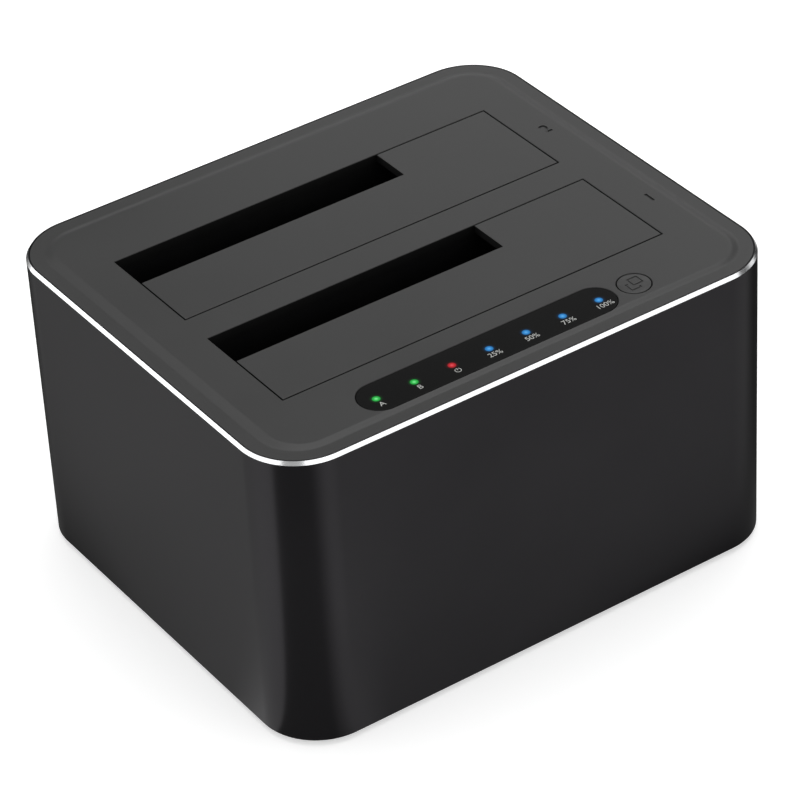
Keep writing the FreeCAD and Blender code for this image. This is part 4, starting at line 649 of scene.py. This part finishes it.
def light_discs(name, node, body, material):
    """Discs over every guide of one CAD node, with their UV map."""
    verts = [v.co / MM for v in frame["nodes"][node].data.vertices]
    middles = sorted({round((v.x - LIGHT_X0) / LIGHT_PITCH) for v in verts})
    bm = bmesh.new()
    centre_of = {}
    for step in middles:
        x = LIGHT_X0 + LIGHT_PITCH * step
        sunk, top = WINDOW_TOP - DISC_SUNK, WINDOW_TOP + DISC_THICK
        made = lathe(bm, [(0, sunk), (GLOW_R, sunk), (GLOW_R, top), (GLOW_R * 0.6, top),
                          (GLOW_R * 0.3, top), (0, top)], "Z", (x, LIGHT_Y, 0), 48)
        for v in made:
            centre_of[v] = x
    layer = bm.loops.layers.uv.new("UVMap")
    for face in bm.faces:
        for loop in face.loops:
            v = loop.vert
            loop[layer].uv = ((v.co.x - centre_of[v]) / GLOW_R, (v.co.y - LIGHT_Y) / GLOW_R)
    piece = bare_object(name, bm, [material])
    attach(piece, body)
    print(name, "at steps", middles)


led_low, led_high = in_mm(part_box("indicator_leds"))
LIGHT_PITCH, LED_HALF = 10.0, 1.0
LIGHT_X0 = led_low.x + LED_HALF
LIGHT_Y = (led_low.y + led_high.y) / 2
for colour, core, edge in (("green", "#86f59c", "#28b84a"), ("red", "#e8525c", "#c01f2a"),
                           ("blue", "#5fb0ee", "#2b84cc")):
    light_discs(colour + "_lights", colour + "_light_guides", "housing",
                light_material("lamp_" + colour, core, edge))

# %% [markdown]
# ## Printed marks
# The marks under the lights are printed in off-white ink. Letters and numbers are
# Blender's own font, turned into thin mesh. The power mark is an open ring with a
# bar, and a ring is a small rectangle spun round part of a turn.

# %% Marks under the lights
INK = surface("ink_screen_printed", "#b4b5b2", "#c0c1be", 0.55, 0.2, 0.002, 3.0, IOR=1.5)
INK_THICK, MARK_SIZE, MARK_DROP = 0.02, 2.15, 2.35
POWER_R, POWER_LINE, BAR_HALF, BAR_ENDS = 0.7, 0.17, 0.09, (0.05, 0.85)
marks = bmesh.new()


def add_ring(bm, radius, wide, x, y, z, start, sweep):
    """Part of a flat ring, from an angle through a sweep, in degrees."""
    turn = Matrix.Rotation(math.radians(start), 4, "Z")
    verts = [bm.verts.new(turn @ Vector((r, 0, h)) + Vector((x, y, z)))
             for r, h in ((radius - wide / 2, 0), (radius + wide / 2, 0),
                          (radius + wide / 2, INK_THICK), (radius - wide / 2, INK_THICK))]
    face = bm.faces.new(verts)
    full = sweep == 360
    bmesh.ops.spin(bm, geom=list(face.edges) if full else [face], cent=(x, y, z), axis=(0, 0, 1),
                   angle=math.radians(sweep), steps=24, use_merge=full)
    if full:
        bm.faces.remove(face)


def add_bar(bm, x0, x1, y0, y1, z):
    """A flat bar."""
    middle = ((x0 + x1) / 2, (y0 + y1) / 2, z + INK_THICK / 2)
    matrix = Matrix.Translation(middle) @ Matrix.Diagonal((x1 - x0, y1 - y0, INK_THICK, 1))
    bmesh.ops.create_cube(bm, size=1, matrix=matrix)


MARK_Y = LIGHT_Y - MARK_DROP
for step, text in enumerate(("A", "B", None, "25%", "50%", "75%", "100%")):
    x = LIGHT_X0 + LIGHT_PITCH * step
    if text:
        words = lettering(text, MARK_SIZE, INK_THICK / 2)
        words.transform(Matrix.Translation((x, MARK_Y, WINDOW_TOP + INK_THICK / 2)))
        marks.from_mesh(words)
    else:
        add_ring(marks, POWER_R, POWER_LINE, x, MARK_Y, WINDOW_TOP, 120, 300)
        add_bar(marks, x - BAR_HALF, x + BAR_HALF, MARK_Y + BAR_ENDS[0], MARK_Y + BAR_ENDS[1],
                WINDOW_TOP)
bmesh.ops.remove_doubles(marks, verts=marks.verts, dist=WELD)
marks_piece = bare_object("window_marks", marks, [INK])
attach(marks_piece, "housing")
print("marks", len(marks_piece.data.vertices), "points")

# %% [markdown]
# ## The copy key
# A turned profile spun round the key's axis makes its cap, its retaining skirt and
# its stem in one go. Its engraved sign, one sheet behind another, says copy without
# a word. The strokes are carved, because a painted line would lie flat in the light.

# %% Copy key
SKIRT_R, SKIRT_H, SKIRT_GAP, STEM_R, KEY_EDGE = 4.5, 0.9, 0.1, 1.6, 0.25
skirt_top = COVER_UNDER - SKIRT_GAP
key_bm = bmesh.new()
lathe(key_bm, [(0, KEY_LOW.z), (STEM_R, KEY_LOW.z), (STEM_R, skirt_top - SKIRT_H),
               (SKIRT_R, skirt_top - SKIRT_H), (SKIRT_R, skirt_top), (KEY_R, skirt_top),
               (KEY_R, PANEL_Z - KEY_EDGE),
               (KEY_R - KEY_EDGE * ARC_MIDDLE, PANEL_Z - KEY_EDGE * ARC_MIDDLE),
               (KEY_R - KEY_EDGE, PANEL_Z), (0, PANEL_Z)], "Z", (*KEY_MIDDLE, 0), 72)
key = bare_object("copy_key", key_bm, [KEY_ABS])
STROKE, SHEET, SHIFT, STUB, SIGN_DEEP, TOOL_UP = 0.32, 2.5, 0.75, 0.62, 0.14, 0.5
half, thin = SHEET / 2, STROKE / 2
SHEET_SIDES = {"N": (-half, half, half, half), "S": (-half, half, -half, -half),
               "E": (half, half, -half, half), "W": (-half, -half, -half, half)}
strokes = []
for shift, letters in ((SHIFT, "NSEW"), (-SHIFT, "SW")):
    cx, cy = KEY_MIDDLE[0] + shift, KEY_MIDDLE[1] + shift
    for letter in letters:
        x0, x1, y0, y1 = SHEET_SIDES[letter]
        strokes.append(((cx + x0 - thin, cy + y0 - thin), (cx + x1 + thin, cy + y1 + thin)))
strokes.append(((cx - half - thin, cy + half - thin), (cx - half + STUB, cy + half + thin)))
strokes.append(((cx + half - thin, cy - half - thin), (cx + half + thin, cy - half + STUB)))
carve(key, [box_tool((a[0], a[1], PANEL_Z - SIGN_DEEP), (b[0], b[1], PANEL_Z + TOOL_UP))
            for a, b in strokes])
finish_piece(key, "clone_button_body", ["clone_button"])

# %% [markdown]
# ## Feet and screws
# The feet are moulded rubber with a rounded rim and a shallow dish, so that they
# grip on their edge. The case screws are pan heads with a cross recess. Both are
# turned profiles, spun, and the cross is carved from each head.

# %% Feet and case screws
RUBBER = surface("rubber_moulded", "#161616", "#1e1e1e", 0.72, 0.4, 0.02, 4.0, IOR=1.52)
feet_low, feet_high = in_mm(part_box("rubber_feet"))
FOOT_R, FOOT_TOP = 5.5, feet_high.z
feet_bm = bmesh.new()


def four_places(low, high, radius):
    """Middles of four round things in the corners of a box."""
    return [(x, y) for x in (low.x + radius, high.x - radius)
            for y in (low.y + radius, high.y - radius)]


for x, y in four_places(feet_low, feet_high, FOOT_R):
    lathe(feet_bm, [(0, FOOT_TOP), (FOOT_R, FOOT_TOP), (FOOT_R, FOOT_TOP - 0.9),
                    (FOOT_R - 0.1, 0.3), (FOOT_R - 0.4, 0.05), (FOOT_R - 0.7, 0),
                    (FOOT_R - 1.7, 0), (FOOT_R - 2.0, 0.25), (0, 0.3)], "Z", (x, y, 0), 48)
finish_piece(bare_object("moulded_feet", feet_bm, [RUBBER]), "housing",
             ["rubber_feet"])


SCREW_R, HEAD_R, HEAD_H, THREAD_PITCH, THREAD_DEEP = 1.5, 2.8, 1.8, 0.9, 0.3
THREAD_LENGTH, PLAIN_TIP = 10.0, 1.5
CROSS_LENGTH, CROSS_WIDE, CROSS_DEEP, CROSS_OUT, CROSS_STEP = 2.6, 0.6, 1.2, 0.5, 0.04
screw_low, screw_high = in_mm(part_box("case_screws"))
z0, z1 = screw_low.z, screw_high.z
profile = [(0, z0), (HEAD_R - 0.8, z0), (HEAD_R - 0.25, z0 + 0.2), (HEAD_R, z0 + 0.65),
           (HEAD_R, z0 + HEAD_H), (SCREW_R - THREAD_DEEP, z0 + HEAD_H)]
z = z1 - THREAD_LENGTH
while z < z1 - PLAIN_TIP:
    profile += [(SCREW_R - THREAD_DEEP, z), (SCREW_R, z + THREAD_PITCH / 2)]
    z += THREAD_PITCH
profile += [(SCREW_R - 0.35, z1 - 0.9), (0, z1)]
screws_bm = bmesh.new()
crosses = []
for x, y in four_places(screw_low, screw_high, HEAD_R):
    lathe(screws_bm, profile, "Z", (x, y, 0), 32)
    for half_x, half_y, more in ((CROSS_LENGTH / 2, CROSS_WIDE / 2, 0.0),
                                 (CROSS_WIDE / 2, CROSS_LENGTH / 2, CROSS_STEP)):
        crosses.append(box_tool((x - half_x, y - half_y, z0 - (CROSS_OUT + more)),
                                (x + half_x, y + half_y, z0 + (CROSS_DEEP + more))))
case_screws = bare_object("cross_head_screws", screws_bm, [ZINC])
carve(case_screws, crosses)
finish_piece(case_screws, "housing", ["case_screws"])

# %% [markdown]
# ## The rear sockets
# The power socket's mouth and the rocker are looked at closely when a lead is
# plugged in. The socket is carved from a block with softened edges, round its own
# pin. The rocker is a cleaned CAD copy with rounded edges, because its tilt and its
# pivot are already right, and gets its two signs, a line for on and a ring for off.

# %% Power socket, pin and rocker
SOCKET_PBT = surface("pbt_socket_moulded", "#111112", "#18181a", 0.45, 0.3, 0.015, 6.0, IOR=1.57)
MARK_PAINT = surface("paint_pad_printed", "#cfcfcb", "#dcdcd8", 0.5, 0.2, 0.002, 2.0, IOR=1.5)
block_low, block_high = in_mm(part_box("power_jack"))
jack_piece = box_tool(block_low, block_high, 0.4, "Y")
jack_piece.name = "power_socket_block"
jack_piece.data.materials.append(SOCKET_PBT)
MOUTH_R, MOUTH_DEEP = 3.1, 10.0
mouth = bmesh.new()
face_y = block_high.y
lathe(mouth, [(0, face_y - MOUTH_DEEP), (MOUTH_R, face_y - MOUTH_DEEP), (MOUTH_R, face_y - 0.25),
              (MOUTH_R + 1.25, face_y + OVERRUN), (0, face_y + OVERRUN)], "Y", JACK_AT, 64)
carve(jack_piece, [bare_object("tool", mouth)])
finish_piece(jack_piece, "housing", ["power_jack"])
pin_bm = bmesh.new()
PIN_R = 1.05
lathe(pin_bm, [(0, jack_low.y), (PIN_R, jack_low.y), (PIN_R, jack_high.y - 0.5),
               (PIN_R - 0.2, jack_high.y - 0.12), (PIN_R - 0.5, jack_high.y), (0, jack_high.y)],
      "Y", JACK_AT, 40)
finish_piece(bare_object("power_socket_pin", pin_bm, [NICKEL]), "housing",
             ["power_jack_pin"])

SHARP_DEGREES, OUTER_ZONE, ROCKER_EDGE, FACES_BACK = 60, 0.4, 0.15, 0.8
SIGN_HALF, SIGN_LINE, ZERO_LINE = 0.9, 0.2, 0.35
rocker_bm = cad_copy("power_rocker")
break_edges(rocker_bm, [e for e in rocker_bm.edges
                        if e.calc_face_angle(0) > math.radians(SHARP_DEGREES)
                        and all(v.co.y > switch_high.y - OUTER_ZONE for v in e.verts)],
            ROCKER_EDGE)
rocker_faces = sorted((f for f in rocker_bm.faces if f.normal.y > FACES_BACK),
                      key=lambda f: f.calc_area())[-2:]
signs = bmesh.new()
for face in rocker_faces:
    flat = face.normal.to_track_quat("Z", "Y").to_matrix().to_4x4()
    before = set(signs.verts)
    if face.calc_center_median().x > (switch_low.x + switch_high.x) / 2:
        add_bar(signs, -SIGN_LINE, SIGN_LINE, -SIGN_HALF, SIGN_HALF, 0)
    else:
        add_ring(signs, SIGN_HALF, ZERO_LINE, 0, 0, 0, 0, 360)
    new = [v for v in signs.verts if v not in before]
    bmesh.ops.transform(signs, matrix=Matrix.Translation(face.calc_center_median()) @ flat,
                        verts=new)
bmesh.ops.remove_doubles(signs, verts=signs.verts, dist=WELD)
finish_piece(bare_object("rocker_paddle", rocker_bm, [SOCKET_PBT]), "power_rocker_body",
             ["power_rocker"])
signs_piece = bare_object("rocker_marks", signs, [MARK_PAINT])
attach(signs_piece, "power_rocker_body")
print("rocker marks", [round(c / MM, 2) for c in signs_piece.dimensions])

# %% [markdown]
# ## Everything inside
# The rest is already the right shape in the CAD: the wells, the boards and their
# parts. Those nodes stay as they are, and each only gets a finish. A board is glass
# cloth and resin under green solder resist. Chips are moulded epoxy, with a fine
# matt, and ferrite is pressed powder, so it is a little speckled.

# %% Finishes of the inner parts
BOARD = surface("laminate_solder_resist", "#0d3a1c", "#12482a", 0.35, 0.6, 0.008, 1.6, IOR=1.5)
EPOXY = surface("epoxy_moulded", "#171718", "#1f1f20", 0.6, 0.15, 0.01, 2.0, IOR=1.55)
FERRITE = surface("ferrite_pressed", "#34343a", "#424247", 0.7, 0.12, 0.02, 1.0, IOR=1.8)
USB_PBT = surface("pbt_blue_moulded", "#1c5cc2", "#2467cf", 0.42, 0.3, 0.01, 5.0, IOR=1.57)
IVORY = surface("nylon_ivory", "#d9d0b8", "#e3dbc4", 0.5, 0.3, 0.01, 3.0, IOR=1.53)
RIBBON = surface("pvc_ribbon", "#8f9092", "#a3a4a6", 0.5, 1.27, 0.1, 8.0, stretch=(1, 0.02, 0.02),
                 IOR=1.53)
SILICONE = surface("silicone_led_lens", "#e8e4cf", "#f0ecda", 0.3, 0.3, 0.005, 1.0, IOR=1.42)
GREEN_PMMA = surface("pmma_guide_green", "#2fae4a", "#3cc259", 0.15, 1.0, 0.002, 2.0, IOR=1.49)
RED_PMMA = surface("pmma_guide_red", "#b02a32", "#c4353d", 0.15, 1.0, 0.002, 2.0, IOR=1.49)
BLUE_PMMA = surface("pmma_guide_blue", "#2f74bf", "#3c86d4", 0.15, 1.0, 0.002, 2.0, IOR=1.49)

FINISH_OF_SLOT = {
    "anodised_sleeve": ANODISED, "cover_plastic": COVER_ABS, "well_plastic": WELL_ABS,
    "base_plastic": BASE_ABS, "foot_rubber": RUBBER, "screw_steel": ZINC, "spring_steel": WIRE,
    "window_acrylic": SMOKED, "green_lens": GREEN_PMMA, "red_lens": RED_PMMA,
    "blue_lens": BLUE_PMMA, "led_package": SILICONE, "board_laminate": BOARD,
    "socket_plastic": SOCKET_PBT, "gold_contacts": GOLD, "shell_steel": NICKEL,
    "usb_plastic": USB_PBT, "chip_resin": EPOXY, "ferrite": FERRITE, "can_aluminium": CAN,
    "header_plastic": IVORY, "ribbon_pvc": RIBBON}
FINISH_OF_NODE = {"front_hinge_rod": GROUND, "rear_hinge_rod": GROUND}
for part in frame["record"]["subparts"]:
    made = frame["nodes"][part["node"]]
    finish = FINISH_OF_NODE.get(part["node"], FINISH_OF_SLOT[part["material_slot"]])
    if not made.material_slots:
        made.data.materials.append(finish)
    for material_slot in made.material_slots:
        material_slot.material = finish

# %% [markdown]
# ## Camera
# The camera looks down on the case's left front corner through a long lens, so the
# upright edges stay almost parallel. It is placed by its direction and distance,
# and rolled a little.

# %% Camera
AZIMUTH, ELEVATION, ROLL = [math.radians(a) for a in (-32.981, 35.473, -3.368)]
DISTANCE, AIM_Z = 923.435, 41.5
SHIFT_RIGHT, SHIFT_UP = 0.668, -4.465
SENSOR_WIDTH = 36
LENS = 3975.8 / 800 * SENSOR_WIDTH
back = Vector((math.sin(AZIMUTH) * math.cos(ELEVATION), -math.cos(AZIMUTH) * math.cos(ELEVATION),
               math.sin(ELEVATION)))
right = (-back).cross(Vector((0, 0, 1))).normalized()
up = right.cross(-back)
right, up = (right * math.cos(ROLL) + up * math.sin(ROLL),
             up * math.cos(ROLL) - right * math.sin(ROLL))
eye = back * DISTANCE + right * SHIFT_RIGHT + up * SHIFT_UP + Vector((0, 0, AIM_Z))
camera_data = bpy.data.cameras.new("camera")
camera_data.lens = LENS
camera_data.sensor_width = SENSOR_WIDTH
camera_data.clip_start = 0.05
camera_data.clip_end = 20
camera = new_object("camera", camera_data)
camera.matrix_world = Matrix.Translation(eye * MM) @ Matrix(
    (right, up, back)).transposed().to_4x4()
bpy.context.scene.camera = camera
print("camera at", [round(c, 1) for c in eye])

# %% [markdown]
# ## Light
# A plain studio: a pale floor, a big soft box overhead, soft boxes round the case
# whose reflections draw the bright chamfer, and a small near strip behind that
# lights the far part of the top. The level is set so that a colour renders about as
# it is written. The floor is almost white by its own colour, and what the camera or
# a mirror sees of it is lifted a little.
#
# Round the room runs a low white wall, dark above and pale again overhead, so that a
# slope on the cover that tips towards the wall's dark part reads as a slope. Behind
# on the right a pale strip and a second dark one come between, for the slopes there.
#
# An upright polished wall, looked down on, mirrors only the floor beside it. So a
# studio lays dark cards there to shape the metal. More lamps would not do it, as
# they stand above the horizon. Here no cards stand: the floor itself darkens by its
# bearing from the case's near corner, for mirrored rays only, a painted reflection that
# draws the dark bands on the metal. The cost is that the metal doesn't mirror the white
# floor that is seen. No level of this painted reflection is brighter than the lit floor.

# %% Floor, world and lamps
def fill_ramp(node, levels):
    """Fill a colour ramp with greys, each a position and a level."""
    stops = node.color_ramp.elements
    while len(stops) < len(levels):
        stops.new(0.5)
    for stop, (position, level) in zip(stops, levels):
        stop.position = position
        stop.color = (level, level, level, 1)


floor_bm = bmesh.new()
FLOOR_HALF, TOOTH, FLOOR_WHITE = 4000, 400.0, (0.9, 0.91)
bmesh.ops.create_grid(floor_bm, x_segments=1, y_segments=1, size=FLOOR_HALF)
floor = bare_object("studio_floor", floor_bm)
material, tree, place, output = new_material("paper_backdrop_white")
tooth = add(tree, "TexNoise", {"Vector": place, "Scale": grain(TOOTH), "Detail": 1.0})
shade = add(tree, "MapRange", {"Value": tooth.outputs["Fac"], "To Min": FLOOR_WHITE[0],
                               "To Max": FLOOR_WHITE[1]})
corner = ((CASE_CORNER - CASE_LENGTH / 2) * MM, (CASE_CORNER - CASE_DEPTH / 2) * MM, 0)
from_corner = add(tree, "VectorMath", {0: place, 1: corner}, operation="SUBTRACT")
sides = add(tree, "SeparateXYZ", {"Vector": from_corner.outputs["Vector"]})
ahead = add(tree, "Math", {0: sides.outputs["Y"], 1: -1.0}, operation="MULTIPLY")
bearing = add(tree, "Math", {0: sides.outputs["X"], 1: ahead.outputs["Value"]},
              operation="ARCTAN2")
turn = add(tree, "MapRange", {"Value": bearing.outputs["Value"], "From Min": -math.pi,
                              "From Max": math.pi})
mirror_shade = add(tree, "ValToRGB", {"Fac": turn.outputs["Result"]})
# Painted reflection: the floor's level by bearing, in degrees, as mirrored rays alone see it.
FLOOR_MIRROR_SHADE = ((-180, 0.04), (-172, 0.1), (-163, 0.3), (-150, 0.35), (-135, 0.37), (-124, 0.5),
               (-108, 0.7), (-81, 0.84), (-77, 0.23), (-18, 0.23), (3, 0.66), (16, 0.66),
               (33, 0.46), (66, 0.47), (76, 0.39), (83, 0.13), (90, 0.04), (104, 0.02),
               (112, 0.45), (118, 0.65), (135, 0.6), (150, 0.3), (163, 0.15), (172, 0.03),
               (180, 0.04))
fill_ramp(mirror_shade, [((degrees + 180) / 360, level) for degrees, level in FLOOR_MIRROR_SHADE])
path = add(tree, "LightPath")
ONE = (1, 1, 1)
darker = add(tree, "VectorMath", {0: mirror_shade.outputs["Color"], 1: ONE}, operation="SUBTRACT")
mirrored = add(tree, "VectorMath", {0: darker.outputs["Vector"],
                                    "Scale": path.outputs["Is Glossy Ray"]}, operation="SCALE")
tone = add(tree, "VectorMath", {0: mirrored.outputs["Vector"], 1: ONE}, operation="ADD")
colour = add(tree, "VectorMath", {0: tone.outputs["Vector"], "Scale": shade.outputs["Result"]},
             operation="SCALE")
paper = add(tree, "BsdfDiffuse", {"Color": colour.outputs["Vector"]})
FLOOR_LIFT = 0.5
seen = path.outputs["Is Camera Ray"]
for kind in ("Is Glossy Ray", "Is Transmission Ray"):
    seen = add(tree, "Math", {0: seen, 1: path.outputs[kind]}, operation="MAXIMUM").outputs["Value"]
lift = add(tree, "Math", {0: seen, 1: FLOOR_LIFT}, operation="MULTIPLY")
white = add(tree, "Emission", {"Color": tone.outputs["Vector"], "Strength": lift.outputs["Value"]})
both = add(tree, "AddShader", {0: paper.outputs["BSDF"], 1: white.outputs["Emission"]})
tree.links.new(both.outputs["Shader"], output)
floor.data.materials.append(material)

ROOM = ((0.0, 1.0), (0.1, 1.0), (0.14, 0.05), (0.28, 0.08), (0.5, 0.42), (1.0, 0.44))
BEHIND = ((0.0, 1.0), (0.1, 1.0), (0.14, 0.05), (0.27, 0.05), (0.36, 0.43), (0.56, 0.4),
          (0.64, 0.15), (0.8, 0.2), (1.0, 0.44))
BEHIND_BEARING, BEHIND_BLEND = math.radians(145), (0.72, 0.8)
world = bpy.data.worlds.new("studio")
bpy.context.scene.world = world
world.use_nodes = True
sky = world.node_tree
sky.nodes.clear()
way = add(sky, "TexCoord").outputs["Generated"]
height = add(sky, "SeparateXYZ", {"Vector": way}).outputs["Z"]
level = add(sky, "VectorMath", {0: way, 1: (1, 1, 0)}, operation="MULTIPLY")
heading = add(sky, "VectorMath", {0: level.outputs["Vector"]}, operation="NORMALIZE")
behind_way = (math.sin(BEHIND_BEARING), -math.cos(BEHIND_BEARING), 0)
toward = add(sky, "VectorMath", {0: heading.outputs["Vector"], 1: behind_way},
             operation="DOT_PRODUCT")
walls = []
for heights in (ROOM, BEHIND):
    wall = add(sky, "ValToRGB", {"Fac": height})
    fill_ramp(wall, heights)
    walls.append(wall.outputs["Color"])
room = add(sky, "MapRange", {"Value": toward.outputs["Value"], "From Min": BEHIND_BLEND[0],
                             "From Max": BEHIND_BLEND[1], "To Min": walls[0], "To Max": walls[1]})
air = add(sky, "Background", {"Color": room.outputs["Result"]})
add(sky, "OutputWorld", {"Surface": air.outputs["Background"]})


def soft_box(name, azimuth, elevation, distance, width, height, radiance, aim=(0, 0, 0.04)):
    """A soft box that faces the object. Azimuth 0 is in front and 90 on the right."""
    a, e = math.radians(azimuth), math.radians(elevation)
    away = Vector((math.sin(a) * math.cos(e), -math.cos(a) * math.cos(e), math.sin(e)))
    lamp = bpy.data.lights.new(name, "AREA")
    lamp.shape = "RECTANGLE"
    lamp.size, lamp.size_y = width, height
    lamp.energy = radiance * math.pi * width * height
    new_object(name, lamp).matrix_world = Matrix.Translation(
        Vector(aim) + away * distance) @ away.to_track_quat("Z", "Y").to_matrix().to_4x4()
    print(name, "power", round(lamp.energy, 2), "W")


for lamp in (("overhead_box", 120, 80, 1.5, 1.3, 1.3, 1.5),
             ("front_right_box", 28, 20, 1.4, 0.9, 0.9, 1.12),
             ("left_back_box", -134, 13, 1.4, 0.9, 0.7, 1.12),
             ("back_right_box", 112, 50, 0.62, 0.3, 0.3, 0.9),
             ("back_left_box", 180, 50, 1.2, 0.5, 0.4, 1.2),
             ("front_left_box", -10, 26, 1.4, 0.85, 0.45, 1.12),
             ("left_box", -91, 21, 1.4, 1.3, 0.6, 1.12),
             ("back_strip", 138, 27, 0.5, 0.32, 0.14, 0.75)):
    soft_box(*lamp)

# %% Colour view
bpy.context.scene.view_settings.view_transform = "Standard"
